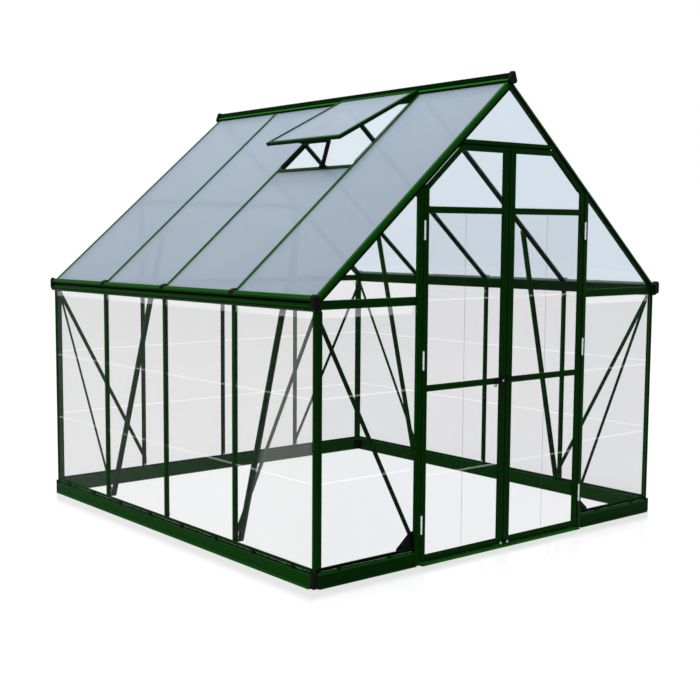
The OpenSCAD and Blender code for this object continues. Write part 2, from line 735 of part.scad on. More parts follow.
base_side_rails();
base_back_rail();
base_front_rails();
base_corner_blocks();
door_threshold();
corner_posts();
side_wall_studs();
back_wall_studs();
door_posts();
door_header();
front_tie_bars();
back_tie_bars();
back_gable_collar();
left_gutter();
right_gutter();
gutter_end_caps();
ridge_beam();
ridge_end_caps();
front_gable_rafters();
back_gable_rafters();
left_rafters();
right_rafters();
rafter_foot_caps();
side_wall_braces();
back_wall_braces();
front_wall_braces();
rafter_struts();
door_post_gussets();
left_wall_sheets();
right_wall_sheets();
back_wall_sheets();
front_wall_sheets();
front_gable_sheets();
back_gable_sheets();
left_roof_sheets();
right_roof_sheets();
vent_sill();
vent_side_rails();
vent_cross_rails();
vent_sheet();
vent_stay_plates();
vent_stay_arms();
door_frame_hinges();
left_door_stiles();
left_door_rails();
left_door_slope_rail();
left_door_sheets();
left_door_hinges();
left_door_keeper();
right_door_stiles();
right_door_rails();
right_door_slope_rail();
right_door_sheets();
right_door_hinges();
right_door_latch();
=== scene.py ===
"""Walk-in greenhouse: finishes, trim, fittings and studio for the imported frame.

In the frame's own axes: +Z up, the doors in the gable that faces -Y. Places and sizes are in
millimetres until a piece is made of them, and in metres in its finish, its properties and the studio.
"""

import json
import math
from functools import partial

import bmesh
import bpy
import numpy as np
from bpy.props import FloatProperty, FloatVectorProperty, PointerProperty
from mathutils import Euler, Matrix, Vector

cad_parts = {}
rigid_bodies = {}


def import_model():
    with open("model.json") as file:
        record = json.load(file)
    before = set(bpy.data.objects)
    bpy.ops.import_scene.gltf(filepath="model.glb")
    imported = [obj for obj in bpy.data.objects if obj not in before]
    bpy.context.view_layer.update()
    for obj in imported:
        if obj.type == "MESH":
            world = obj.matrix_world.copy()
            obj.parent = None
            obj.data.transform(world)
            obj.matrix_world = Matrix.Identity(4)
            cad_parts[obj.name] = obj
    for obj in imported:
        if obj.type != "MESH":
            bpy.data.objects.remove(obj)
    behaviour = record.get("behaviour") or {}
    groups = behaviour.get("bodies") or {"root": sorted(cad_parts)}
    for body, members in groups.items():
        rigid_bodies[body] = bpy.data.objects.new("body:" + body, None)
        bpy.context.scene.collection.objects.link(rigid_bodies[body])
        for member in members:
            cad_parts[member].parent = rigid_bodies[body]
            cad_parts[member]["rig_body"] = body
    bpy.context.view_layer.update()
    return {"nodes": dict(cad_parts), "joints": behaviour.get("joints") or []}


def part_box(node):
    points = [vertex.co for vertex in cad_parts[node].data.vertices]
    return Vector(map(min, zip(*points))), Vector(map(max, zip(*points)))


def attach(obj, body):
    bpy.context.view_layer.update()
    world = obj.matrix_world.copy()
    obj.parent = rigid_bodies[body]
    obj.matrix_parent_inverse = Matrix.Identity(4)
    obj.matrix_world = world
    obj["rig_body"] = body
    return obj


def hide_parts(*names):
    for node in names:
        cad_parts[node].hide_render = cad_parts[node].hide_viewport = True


bl_info = {
    "name": "Walk-in Greenhouse",
    "version": (1, 0, 0),
    "blender": (4, 5, 0),
    "location": "View3D > Sidebar > Greenhouse",
    "description": "Dresses the greenhouse frame with finishes, seals, clips, bolts and sheets",
    "category": "Object",
}

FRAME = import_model()

MM = 0.001
X, Y, Z = np.eye(3)


def vec(x, y, z):
    return np.array([x, y, z], float)


def box(node):
    """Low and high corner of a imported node, in millimetres."""
    return [np.array(corner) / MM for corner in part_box(node)]


def size(name):
    """A size that the user sets, in millimetres."""
    return getattr(bpy.context.scene.greenhouse_sizes, name) / MM


# ---- Layout, read from the frame -------------------------------------------------------------

WALL_X, WALL_Y, EAVE = box("corner_posts")[1]
BASE_X, BASE_Y, _ = box("base_corner_blocks")[1]
BASE_TOP = box("base_side_rails")[1][2]
CORNER_W = 23
CORNER_X, CORNER_Y = WALL_X - CORNER_W, WALL_Y - CORNER_W
BAY_X, BAY_Y = BASE_X / 2, BASE_Y / 2
STUD_HALF = 12.5
DOOR_Y = box("door_posts")[0][1]
DOOR_POST_OUT, DOOR_POST_BACK, _ = box("door_posts")[1]
GABLE_Y = -DOOR_Y
POST_IN = box("door_threshold")[1][0]
TIE_Z0 = box("front_tie_bars")[0][2]
BEAM_IN, _, TIE_Z1 = box("front_tie_bars")[1]
HEADER_Z0, HEADER_Z1 = (corner[2] for corner in box("door_header"))
RIDGE_X = box("ridge_beam")[1][0]
FOOT_X = WALL_X - 7
PITCH = math.radians(40.2)
SLOPE = math.tan(PITCH)
ROOF_PEAK = box("right_rafters")[1][2] + SLOPE * RIDGE_X
RAFTER_DEEP = 30
UNDER_PEAK = ROOF_PEAK - RAFTER_DEEP / math.cos(PITCH)
# Where the right slope's underside cuts a member off, as (point, normal).
UNDERSIDE = (UNDER_PEAK * Z, SLOPE * X + Z)
(LEAF_X0, LEAF_Y0, LEAF_Z0), (LEAF_X1, LEAF_Y1, LEAF_TOP) = box("right_door_stiles")
MEET_IN, STILE_IN = (corner[0] for corner in box("right_door_rails"))
RAIL_H = 31
LATCH_Z = sum(box("right_door_latch"))[2] / 2
UPPER_Z = LEAF_TOP - 302
TOP_RAIL_Z0 = LEAF_TOP - 28
LEAF_PEAK = UNDER_PEAK - 6 / math.cos(PITCH)
SLOPE_RAIL_W = 26
LEAF_INNER_PEAK = LEAF_PEAK - SLOPE_RAIL_W / math.cos(PITCH)
CORNER_IN = (LEAF_INNER_PEAK - TOP_RAIL_Z0) / SLOPE
HINGE_X, HINGE_Y = 570, FRAME["joints"][1]["pos_m"][1] / MM
HINGE_ZS = (193, 958, LEAF_TOP - 395)
LEAF_PANE_Y = LEAF_Y0 + 9
BRACE_FOOT_Z, BRACE_SET_IN = 120, 8
DOOR_LAP_ZS = (417, 1232)
PANE_JOINT_X = {"left": 283, "right": 298}
DOWN = vec(math.cos(PITCH), 0, -math.sin(PITCH))
OUT = vec(math.sin(PITCH), 0, math.cos(PITCH))
# Each wall as the way along it, the way out of it, and its outer face's distance from the middle.
WALLS = {
    "left": (Y, -X, WALL_X), "right": (Y, X, WALL_X), "front": (X, -Y, WALL_Y), "back": (X, Y, WALL_Y),
}
# Heights of the laps in each wall's sheets, and a sheet's faces outward of the wall's plane.
LAP_ZS = {"left": (457, 827), "right": (475, 843), "front": (457, 827), "back": (475, 843)}
SHEET_FACES = (-6, -3)


def on_slope(x):
    """Point of the right slope's outer face at distance x off the ridge line."""
    return vec(x, 0, ROOF_PEAK - SLOPE * x)


# ---- Shapes ----------------------------------------------------------------------------------

# Materials by finish, filled by the first step.
FINISH = {}


def rectangle(a0, a1, b0, b1):
    """Outline of a rectangle."""
    return [(a0, b0), (a1, b0), (a1, b1), (a0, b1)]


def halved(half):
    """Outline with two like halves, from the corners of the one at positive a."""
    return [*half, *[(-a, b) for a, b in reversed(half)]]


def onto(points, along, plane):
    """Slides points along a direction onto a plane given as (point, normal)."""
    point, normal = plane
    return points + ((point - points) @ normal / (along @ normal))[:, None] * along


def around(steps):
    """Angles of a full turn in equal steps, as a column."""
    return (np.arange(steps) * 2 * math.pi / steps)[:, None]


class Shapes:
    """Collects closed shapes and makes one piece of them."""

    def __init__(self):
        self.points, self.faces = np.empty((0, 3)), []

    def add_rings(self, rings, closed=False):
        """Skins a row of rings of points, with a flat face at each end or with its ends joined."""
        rows, steps, _ = rings.shape
        here = len(self.points) + np.arange(rows * steps).reshape(rows, steps)
        after = np.roll(here, -1, 1)
        sides = np.stack([here, after, np.roll(after, -1, 0), np.roll(here, -1, 0)], 2)
        self.faces += sides[: rows if closed else -1].reshape(-1, 4).tolist()
        if not closed:
            self.faces += [here[0].tolist(), here[-1].tolist()]
        self.points = np.concatenate([self.points, rings.reshape(-1, 3)])
        return self

    def flip(self, axis):
        """Turns all that is there into its mirror image."""
        self.points[:, axis] *= -1
        return self

    def mirrored(self, axis):
        """Adds the mirror image of all that is there."""
        count = len(self.points)
        self.points = np.concatenate([self.points, self.points * (1 - 2 * np.eye(3)[axis])])
        self.faces += [[i + count for i in reversed(face)] for face in self.faces]
        return self

    def both_sides(self):
        return self.mirrored(0)

    def both_ends(self):
        return self.mirrored(1)

    def prism(self, profile, start, end, across, out, cut_start=None, cut_end=None):
        """A profile carried straight from start to end. Its point (a, b) is start + a across + b out,
        slid along the line onto a cut plane at either end."""
        a, b = np.asarray(profile, float).T[:, :, None]
        along = (end - start) / np.linalg.norm(end - start)
        ring = start + a * across + b * out
        planes = (cut_start or (start, along), cut_end or (end, along))
        return self.add_rings(np.stack([onto(ring, along, plane) for plane in planes]))

    def block(self, low, high):
        """A box between two corners."""
        low, high = vec(*low), vec(*high)
        w, d, h = high - low
        return self.prism(rectangle(0, w, 0, d), low, low + h * Z, X, Y)

    def bar(self, start, end, wide, thick, across, out):
        """A flat bar from start to end, wide across and thick out."""
        return self.prism(rectangle(-wide / 2, wide / 2, -thick / 2, thick / 2), start, end, across, out)

    def plate(self, outline, y0, y1):
        """A flat plate between two planes square to Y, with its outline in (x, z)."""
        return self.prism(outline, y0 * Y, y1 * Y, X, Z)

    def wall_prism(self, wall, profile, u0, u1):
        """A profile of (outward of the wall's plane, height) carried along a wall from u0 to u1."""
        along, out, away = WALLS[wall]
        return self.prism(profile, away * out + u0 * along, away * out + u1 * along, out, Z)

    def wall_bar(self, wall, u0, u1, z0, z1, a0, a1):
        """A bar along a wall from u0 to u1 and z0 to z1, from a0 to a1 outward of the wall's plane."""
        return self.wall_prism(wall, rectangle(a0, a1, z0, z1), u0, u1)

    def turned(self, profile, centre, axis, steps):
        """A profile of (radius, height) turned round an axis:
        point (u, v) = centre + radius(v) (cos u e1 + sin u e2) + height(v) axis."""
        e1 = np.cross(axis, X if axis[2] else Z)
        radius, height = np.asarray(profile, float).T[:, :, None, None]
        u = around(steps)
        spoke = np.cos(u) * e1 + np.sin(u) * np.cross(axis, e1)
        return self.add_rings(centre + radius * spoke + height * axis)

    def loop(self, centre, radius, bar):
        """A loop of round bar that lies square to Y:
        point (u, v) = centre + (radius + bar cos v) (cos u X + sin u Z) + bar sin v Y."""
        u, v = around(28)[:, None], around(8)
        spoke = np.cos(u) * X + np.sin(u) * Z
        return self.add_rings(centre + (radius + bar * np.cos(v)) * spoke + bar * np.sin(v) * Y, closed=True)

    def hex_bolt(self, centre, axis):
        """A washer with a chamfered hexagon head on it, 10 mm across flats."""
        r = 10 / math.sqrt(3)
        self.turned([(1.5 * r, 0), (1.5 * r, 1)], centre, axis, 12)
        return self.turned([(r, 1), (r, 4), (0.8 * r, 5)], centre, axis, 6)

    def pane_frame(self, outline, width, y0, y1):
        """A flat frame inside a convex outline in X and Z that runs anticlockwise: each inner corner
        is where the two neighbouring sides, moved in by width, cross."""
        side = np.roll(outline, -1, 0) - outline
        side /= np.linalg.norm(side, axis=1)[:, None]
        before = np.roll(side, 1, 0)
        cross = before[:, 0] * side[:, 1] - before[:, 1] * side[:, 0]
        inner = outline + width * (side - before) / cross[:, None]
        rings = ((outline, y0), (inner, y0), (inner, y1), (outline, y1))
        return self.add_rings(np.stack([np.insert(ring, 1, y, 1) for ring, y in rings]), closed=True)

    def make(self, name, finish, body="house", bevel=0.0, smooth=False, replaces=""):
        """Makes the piece. What rides on a leaf is drawn on the right one, and the left has its
        mirror image."""
        mesh = bpy.data.meshes.new(name)
        points = self.points * (-MM if body == "left_door" else MM, MM, MM)
        mesh.from_pydata(points.tolist(), [], self.faces)
        with_outward_faces(mesh)
        return placed(mesh, finish, body, bevel, smooth, replaces)

    def make_pair(self, name, finish, replaces="", **settings):
        """Makes the same piece on both door leaves."""
        for side in ("left", "right"):
            stood_for = side + replaces if replaces else ""
            self.make(side + name, finish, side + "_door", replaces=stood_for, **settings)


def with_outward_faces(mesh, merge=False):
    """Turns all faces outward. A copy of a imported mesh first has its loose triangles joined."""
    solid = bmesh.new()
    solid.from_mesh(mesh)
    if merge:
        bmesh.ops.remove_doubles(solid, verts=solid.verts, dist=0.02 * MM)
        bmesh.ops.dissolve_limit(solid, angle_limit=math.radians(0.5), verts=solid.verts, edges=solid.edges)
    bmesh.ops.recalc_face_normals(solid, faces=solid.faces)
    solid.to_mesh(mesh)
    solid.free()


def placed(mesh, finish, body, bevel, smooth=False, replaces=""):
    """Makes a piece of a mesh, riding on its body. A bevel rounds the edges sharper than 30 degrees
    by two steps; without one the piece is shaded flat or smooth."""
    piece = bpy.data.objects.new(mesh.name, mesh)
    bpy.context.scene.collection.objects.link(piece)
    mesh.materials.append(FINISH[finish])
    if bevel or smooth:
        mesh.polygons.foreach_set("use_smooth", [True] * len(mesh.polygons))
    if bevel:
        edge = piece.modifiers.new("rounded edges", "BEVEL")
        edge.width = bevel * MM
        edge.segments = 2
        edge.limit_method = "ANGLE"
        edge.angle_limit = math.radians(30)
        edge.harden_normals = True
    elif smooth:
        mesh.set_sharp_from_angle(angle=math.radians(35))
    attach(piece, body)
    if replaces:
        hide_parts(*replaces.split())
    return piece


def softened(node, finish, bevel):
    """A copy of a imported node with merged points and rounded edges, which stands for the node."""
    mesh = FRAME["nodes"][node].data.copy()
    mesh.name = node + "_profile"
    mesh.materials.clear()
    with_outward_faces(mesh, merge=True)
    for layer in list(mesh.uv_layers):
        mesh.uv_layers.remove(layer)
    mesh.polygons.foreach_set("material_index", [0] * len(mesh.polygons))
    return placed(mesh, finish, FRAME["nodes"][node]["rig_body"], bevel, replaces=node)


def tone_faces(piece, way, least, finish):
    """Gives a finish to the faces whose normal has at least that share along a direction; here it paints
    shade or light on faces by which way they look.
    """
    mesh = piece.data
    mesh.materials.append(FINISH[finish])
    normals, chosen = np.empty(3 * len(mesh.polygons)), np.empty(len(mesh.polygons), int)
    mesh.polygons.foreach_get("normal", normals)
    mesh.polygons.foreach_get("material_index", chosen)
    chosen[normals.reshape(-1, 3) @ way > least] = len(mesh.materials) - 1
    mesh.polygons.foreach_set("material_index", chosen)


def paint(node, finish):
    """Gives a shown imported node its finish."""
    slots = FRAME["nodes"][node].data.materials
    slots.clear()
    slots.append(FINISH[finish])


# ---- Finishes --------------------------------------------------------------------------------


def linear(code):
    """Linear colour of an sRGB hex code."""
    parts = [int(code[i : i + 2], 16) / 255 for i in (0, 2, 4)]
    return tuple(c / 12.92 if c <= 0.04045 else ((c + 0.055) / 1.055) ** 2.4 for c in parts)


def rgba(colour, factor=1.0):
    """Colour for a socket, darker or lighter by a factor."""
    return (*(c * factor for c in colour), 1.0)


WHITE = rgba((1, 1, 1))


def per_mm(grain):
    """Noise or wave scale for a feature of that many millimetres."""
    return 1000.0 / grain


def add_node(tree, kind, inputs=None, **settings):
    """Adds a shader node, sets its properties, and sets its inputs by name or number. A socket is
    linked, and so is a node, by its first output that is in use."""
    made = tree.nodes.new("ShaderNode" + kind)
    for key, value in settings.items():
        setattr(made, key, value)
    for key, value in (inputs or {}).items():
        if isinstance(value, bpy.types.Node):
            value = next(socket for socket in value.outputs if not socket.is_unavailable)
        if isinstance(value, bpy.types.NodeSocket):
            tree.links.new(value, made.inputs[key])
        else:
            made.inputs[key].default_value = value
    return made


def seen_directly(add):
    """1 for camera, glossy and transmission rays, 0 for the rays that light the object."""
    rays = add("LightPath").outputs
    seen = add("Math", {0: rays["Is Camera Ray"], 1: rays["Is Glossy Ray"]}, operation="MAXIMUM")
    return add("Math", {0: seen, 1: rays["Is Transmission Ray"]}, operation="MAXIMUM")


def emptied(owner):
    """Empties the node tree of a material or world, and gives what adds a node to it."""
    owner.use_nodes = True
    owner.node_tree.nodes.clear()
    return partial(add_node, owner.node_tree)


def blank(name):
    """An empty material, what adds its nodes, and the object coordinates to pattern it by."""
    mat = bpy.data.materials.new(name)
    add = emptied(mat)
    return mat, add, add("TexCoord").outputs["Object"]


def opaque(name, colour, noises, shades, rough, bump=0.0, body=None):
    """An opaque finish patterned by noises of (size in mm, detail). The first one drifts the colour
    between two shades of it, and the last one drifts the roughness and raises a faint bump."""
    mat, add, place = blank(name)
    made = [
        add("TexNoise", {"Vector": place, "Scale": per_mm(grain), "Detail": fine}) for grain, fine in noises
    ]
    dark, light = (rgba(colour, factor) for factor in shades)
    tone = add("Mix", {"Factor": made[0], "A": dark, "B": light}, data_type="RGBA")
    if isinstance(rough, tuple):
        rough = add("MapRange", {"Value": made[-1], "To Min": rough[0], "To Max": rough[1]})
    inputs = {"Base Color": tone, "Roughness": rough, **(body or {})}
    if bump:
        inputs["Normal"] = add("Bump", {"Height": made[-1], "Strength": bump, "Distance": 0.3 * MM})
    add("OutputMaterial", {"Surface": add("BsdfPrincipled", inputs)})
    return mat


def powder_coat(name, colour):
    """Polyester powder coat on extruded aluminium: satin with a faint orange peel, and the broad,
    very slight drifts of tone that baking leaves along a profile."""
    # The real orange peel is about 0.5 mm; it is drawn at 4 mm so that it shows.
    body = {"Specular IOR Level": 0.02}
    return opaque(name, colour, ((220, 3), (4, 2)), (0.86, 1.14), (0.34, 0.46), 0.1, body)


def moulded_nylon(name, colour):
    """Black glass-filled nylon, injection moulded: matt with a fine spark-eroded grain."""
    # The real grain is 0.2 mm; 2 mm here so that it breaks up the highlights.
    return opaque(name, colour, ((2, 3),), (0.7, 1.5), (0.42, 0.62), 0.25, {"Specular IOR Level": 0.05})


def extruded_rubber(name, colour):
    """EPDM glazing seal: soft, nearly matt, with fine drawing lines."""
    return opaque(name, colour, ((5, 1),), (0.6, 1.3), 0.7, 0.0, {"Specular IOR Level": 0.02})


def bright_metal(name, colour, rough, grain_mm):
    """Bare metal with a drawn or plated surface: grey, with uneven gloss."""
    return opaque(name, colour, ((grain_mm, 3),), (0.88, 1.08), rough, 0.0, {"Metallic": 1.0})


def clear_polycarbonate(name, tint, veil, reflection_share=0.0):
    """Clear extruded polycarbonate: nearly all see-through, with a thin milky veil and a soft
    reflection that grows towards grazing view. A sheet may also carry a painted reflection: a white glossy
    haze beyond a line that leans as the struts do."""
    mat, add, place = blank(name)
    # Sheets bow and gather dust unevenly; the veil drifts over about 300 mm.
    drift = add("TexNoise", {"Vector": place, "Scale": per_mm(300), "Detail": 2.0})
    milk = add("MapRange", {"Value": drift, "To Min": veil[0], "To Max": veil[1]})
    through = add("BsdfTransparent", {"Color": rgba(linear(tint))})
    dust = {"Base Color": rgba(linear("E8ECEE")), "Roughness": 0.3, "Specular IOR Level": 0.5}
    film = add("BsdfPrincipled", dust)
    sheet = add("MixShader", {0: milk, 1: through, 2: film})
    if reflection_share:
        # Painted reflection: a white glossy haze mixed in beyond a line that leans as the struts do, standing
        # for a reflection.
        along = add("VectorMath", {0: place, 1: (0.0, -1.0, -0.307)}, operation="DOT_PRODUCT")
        reflection_mask = add("MapRange", {"Value": along, "From Min": 0.625, "From Max": 0.675, "To Max": reflection_share})
        reflection_gloss = add("BsdfGlossy", {"Color": WHITE, "Roughness": 0.45})
        sheet = add("MixShader", {0: reflection_mask, 1: sheet, 2: reflection_gloss})
    # One minus the cosine, to the fifth power, is the usual rise of a reflection; it holds on both
    # faces of the thin sheet, where light never stays trapped as the true index would trap it.
    facing = add("LayerWeight", {"Blend": 0.5}).outputs["Facing"]
    rise = add("Math", {0: facing, 1: 5.0}, operation="POWER")
    grazing = add("Math", {0: rise, 1: 0.3}, operation="MULTIPLY")
    gloss = add("BsdfGlossy", {"Color": rgba(linear("F4F8FA")), "Roughness": 0.12})
    coated = add("MixShader", {0: grazing, 1: sheet, 2: gloss})
    add("OutputMaterial", {"Surface": coated})
    return mat


def frosted_polycarbonate(name, share, tint):
    """Cut or doubled edge of a clear sheet: it scatters the bright surround, so it reads white."""
    mat, add, place = blank(name)
    # Saw marks about 3 mm apart thin the white in runs of about 30 mm, which are what shows.
    marks = add("TexNoise", {"Vector": place, "Scale": per_mm(30), "Detail": 2.0})
    cover = add("MapRange", {"Value": marks, "To Min": share * 0.85, "To Max": share * 1.15})
    through = add("BsdfTransparent", {"Color": WHITE})
    frost = add("BsdfGlossy", {"Color": rgba(linear(tint)), "Roughness": 0.45})
    edge = add("MixShader", {0: cover, 1: through, 2: frost})
    add("OutputMaterial", {"Surface": edge})
    return mat


def twin_wall_polycarbonate(name, outer, inner, cover, inner_cover):
    """Twin-wall roof sheet: a blue-grey upper skin, partly its tint and partly painted shade, that lets a
    white glow through to its underside, a milky lower skin painted near white as painted light for that glow,
    and ribs between them that run down the slope."""
    mat, add, place = blank(name)
    # Ribs stand 6 mm apart in the real sheet; drawn 12 mm apart so that they show.
    bands = {"Vector": place, "Scale": per_mm(12) / 20, "Distortion": 0.0, "Detail": 0.0}
    ribs = add("TexWave", bands, wave_type="BANDS", bands_direction="Y").outputs["Fac"]
    # The upper skin takes the weather in soft clouds about 600 mm across.
    drift = add("TexNoise", {"Vector": place, "Scale": per_mm(600), "Detail": 2.0})
    # Painted light and shade by which way a face looks: faces that look down are near white and mostly
    # see-through, for the glow of a sheet lit from above; faces that look up are blue-grey and mostly closed,
    # partly painted shade.
    normal = add("NewGeometry").outputs["True Normal"]
    height = add("SeparateXYZ", {"Vector": normal}).outputs["Z"]
    faces_up = add("Math", {0: height, 1: 0.0}, operation="GREATER_THAN")
    tone = rgba(outer, 0.985)
    for share, other in ((ribs, rgba(outer, 1.015)), (drift, rgba(outer, 1.1))):
        tone = add("Mix", {"Factor": share, "A": tone, "B": other}, data_type="RGBA")
    tone = add("Mix", {"Factor": faces_up, "A": rgba(linear(inner)), "B": tone}, data_type="RGBA")
    closed = add("MapRange", {"Value": faces_up, "To Min": inner_cover, "To Max": cover})
    through = add("BsdfTransparent", {"Color": rgba(linear("F4F9FD"))})
    skin = add("BsdfPrincipled", {"Base Color": tone, "Roughness": 0.35, "Specular IOR Level": 0.2})
    glow = add("BsdfTranslucent", {"Color": rgba(linear("E9EFF6"))})
    lit = add("MixShader", {0: 0.42, 1: skin, 2: glow})
    sheet = add("MixShader", {0: closed, 1: through, 2: lit})
    add("OutputMaterial", {"Surface": sheet})
    return mat


def made_finishes():
    """All finishes of the object, by name."""
    tints = bpy.context.scene.greenhouse_finishes
    made = {
        "nylon": moulded_nylon("moulded_nylon", tints.fitting_black),
        "rubber": extruded_rubber("extruded_rubber", tints.seal_black),
        "joint": extruded_rubber("grey_glazing_joint", linear("666A6C")),
        "mill": bright_metal("mill_finish_aluminium", tints.hinge_grey, (0.3, 0.5), 3),
        "zinc": bright_metal("zinc_plated_steel", linear("9A9C9B"), (0.25, 0.45), 2),
        "door": powder_coat("powder_coated_door_aluminium", tints.door_green),
        "frame": powder_coat("powder_coated_aluminium", tints.frame_green),
        "twin": twin_wall_polycarbonate("twin_wall_polycarbonate", tints.roof_film, "EAF0F5", 0.8, 0.18),
    }
    # Painted shade and painted light: the same coat darkened (shaded 0.4, base 0.65) or lightened (inner
    # 1.45, sill, named lit, 2.1) where less or more light reaches a face than the lamps give it.
    for key, name, factor in (
        ("shaded", "shaded", 0.4), ("base", "base", 0.65), ("inner", "inner", 1.45), ("sill", "lit", 2.1)
    ):
        made[key] = powder_coat(name + "_powder_coated_aluminium", [factor * c for c in tints.frame_green])
    # One copy of the clear sheet, used on the left wall, carries a painted reflection: a white glossy haze
    # beyond a leaning line.
    for key, name, tint, veil, reflection_share in (
        ("clear", "clear", "F7F7F7", (0.012, 0.022), 0.0),
        ("reflection_patch", "reflection_patch_clear", "F7F7F7", (0.012, 0.022), 0.065),
        ("front", "clear_front", "F4F5F6", (0.010, 0.018), 0.0),
        ("pane", "clear_door", "F5F5F6", (0.004, 0.009), 0.0),
        ("gable", "clear_gable", "FCFCFD", (0.008, 0.016), 0.0),
    ):
        made[key] = clear_polycarbonate(name + "_polycarbonate", tint, veil, reflection_share)
    for key, name, share, tint in (
        ("lap", "frosted_sheet_edge", 0.13, "FFFFFF"), ("far_lap", "thin_frosted_sheet_edge", 0.02, "FFFFFF"),
        ("lip", "sheet_bottom_edge", 0.12, "F4FFFA"), ("band", "doubled_sheet_edge", 0.14, "FAFBFF"),
    ):
        made[key] = frosted_polycarbonate(name, share, tint)
    return made


# ---- Properties ------------------------------------------------------------------------------


class GreenhouseSizes(bpy.types.PropertyGroup):
    """Sizes of the trim and fittings"""

    edge_round: FloatProperty(
        name="Edge rounding", description="Radius on the edges of frame members",
        default=1.0 * MM, unit="LENGTH",
    )
    door_bevel: FloatProperty(
        name="Door bevel", description="Bevel along the front edges of door members",
        default=4.0 * MM, unit="LENGTH",
    )
    lap_height: FloatProperty(
        name="Lap height", description="Height of the white laps between wall sheets",
        default=7.5 * MM, unit="LENGTH",
    )
    band_height: FloatProperty(
        name="Top band height", description="Height of the doubled band at the top of the wall sheets",
        default=30.0 * MM, unit="LENGTH",
    )
    seal_width: FloatProperty(
        name="Seal width", description="Width of the rubber seal under the gable rafters",
        default=8.0 * MM, unit="LENGTH",
    )
    clip_pitch: FloatProperty(
        name="Clip pitch", description="Distance between the clips along the base",
        default=BAY_Y / 2 * MM, unit="LENGTH",
    )


class GreenhouseFinishes(bpy.types.PropertyGroup):
    """Colours of the finishes"""

    frame_green: FloatVectorProperty(
        name="Frame", description="Powder coat of the frame", subtype="COLOR",
        default=linear("11530D"), min=0, max=1,
    )
    door_green: FloatVectorProperty(
        name="Doors", description="Powder coat of the door leaves", subtype="COLOR",
        default=linear("125210"), min=0, max=1,
    )
    fitting_black: FloatVectorProperty(
        name="Fittings", description="Moulded nylon caps, clips and latch", subtype="COLOR",
        default=linear("070506"), min=0, max=1,
    )
    seal_black: FloatVectorProperty(
        name="Seals", description="Rubber glazing seals", subtype="COLOR",
        default=linear("050605"), min=0, max=1,
    )
    hinge_grey: FloatVectorProperty(
        name="Hinges", description="Bare aluminium hinges", subtype="COLOR",
        default=linear("D4D8DA"), min=0, max=1,
    )
    roof_film: FloatVectorProperty(
        name="Roof film", description="Blue-grey outer skin of the roof sheets", subtype="COLOR",
        default=linear("9AA7B5"), min=0, max=1,
    )


# ---- Pieces ----------------------------------------------------------------------------------

SOFT_FRAME_NODES = "side_wall_studs back_wall_studs back_gable_collar".split()
VENT_NODES = "vent_sill vent_side_rails vent_cross_rails".split()
GABLE_NODES = "front_gable_sheets back_gable_sheets".split()
ROOF_NODES = "left_roof_sheets right_roof_sheets vent_sheet".split()


class GREENHOUSE_OT_frame(bpy.types.Operator):
    """Rounds the edges of the frame members and coats them green"""

    bl_idname = "greenhouse.frame"
    bl_label = "Frame Members"

    def execute(self, context):
        FINISH.update(made_finishes())
        edge = size("edge_round")
        for node in SOFT_FRAME_NODES:
            softened(node, "frame", edge)
        # Painted shade: the vent sill is coated darkened to 0.4 all over, and the vent rails darkened to 0.65
        # on faces that look up and to 0.4 on all their other faces.
        for node in VENT_NODES:
            rail = softened(node, "shaded" if node == "vent_sill" else "base", 0.6 * edge)
            tone_faces(rail, -Z, -0.55, "shaded")
        softened("door_post_gussets", "nylon", 1.6 * edge)
        posts, feet = Shapes(), Shapes()
        # (a, b): a along the gable wall, b along the side wall, both from the room outwards
        profile = [(-19, 19), (9, 19), (9, 4), (20, 4), (20, 14), (23, 14), (23, 23), (6.9, 23), (4.6, 21.8),
                   (2.3, 23), (-19, 23)]
        posts.prism(profile, vec(CORNER_X, CORNER_Y, 72), vec(CORNER_X, CORNER_Y, EAVE), X, Y)
        feet.block((BASE_X - CORNER_W, BASE_Y - CORNER_W, 0), (BASE_X, BASE_Y, 73))
        for shapes in (posts, feet):
            shapes.both_sides().both_ends()
        posts.make("corner_post_profiles", "frame", bevel=edge, replaces="corner_posts")
        feet.make("base_corner_posts", "nylon", bevel=1.5, replaces="base_corner_blocks")
        self.rafters(edge)
        self.struts(edge)
        return {"FINISHED"}

    def rafters(self, edge):
        """T bars: a cap over the joint of two roof sheets, a web and a narrow inner flange."""
        caps, webs, rims = Shapes(), Shapes(), Shapes()
        start, end = on_slope(RIDGE_X), on_slope(FOOT_X)
        ends = {"cut_start": (RIDGE_X * X, X), "cut_end": (FOOT_X * X, X)}
        cap = halved([(12.5, -2), (12.5, -1.2), (7.5, 0)])
        web = halved([(4, -2), (4, -20), (7, -20), (7, -23)])
        for shapes, profile in ((caps, cap), (webs, web)):
            for y in (-BAY_Y, 0, BAY_Y):
                shapes.prism(profile, start + y * Y, end + y * Y, Y, OUT, **ends)
            shapes.both_sides()
        caps.make("rafter_caps", "frame", bevel=0.5 * edge, replaces="left_rafters right_rafters")
        # Painted shade: the webs under the caps are coated darkened to 0.4.
        webs.make("rafter_webs", "shaded", bevel=0.5 * edge)
        for y0, y1 in ((-14, 10), (12 - BAY_Y, 16 - BAY_Y)):
            rims.prism(rectangle(y0, y1, 0, 1.5), start, on_slope(-box("vent_sill")[1][0]), Y, OUT)
        rims.flip(0).make("vent_opening_seals", "rubber")

    def struts(self, edge):
        """Struts from the side walls' feet up to the rafters, cut flat at the ground end."""
        head_x = 815
        foot = vec(WALL_X - 38, 0, BASE_TOP + 5)
        head = vec(head_x, 0, UNDER_PEAK - SLOPE * head_x)
        run = (head - foot) / np.linalg.norm(head - foot)
        profile = halved([(13.5, -8), (13.5, 8), (2, 8), (2, 5)])
        bay = BAY_Y * Y
        bars = Shapes().prism(profile, foot + bay, head + bay, np.cross(Y, run), Y, (foot, Z), UNDERSIDE)
        bars.both_ends().both_sides().make("rafter_strut_bars", "frame", bevel=edge, replaces="rafter_struts")


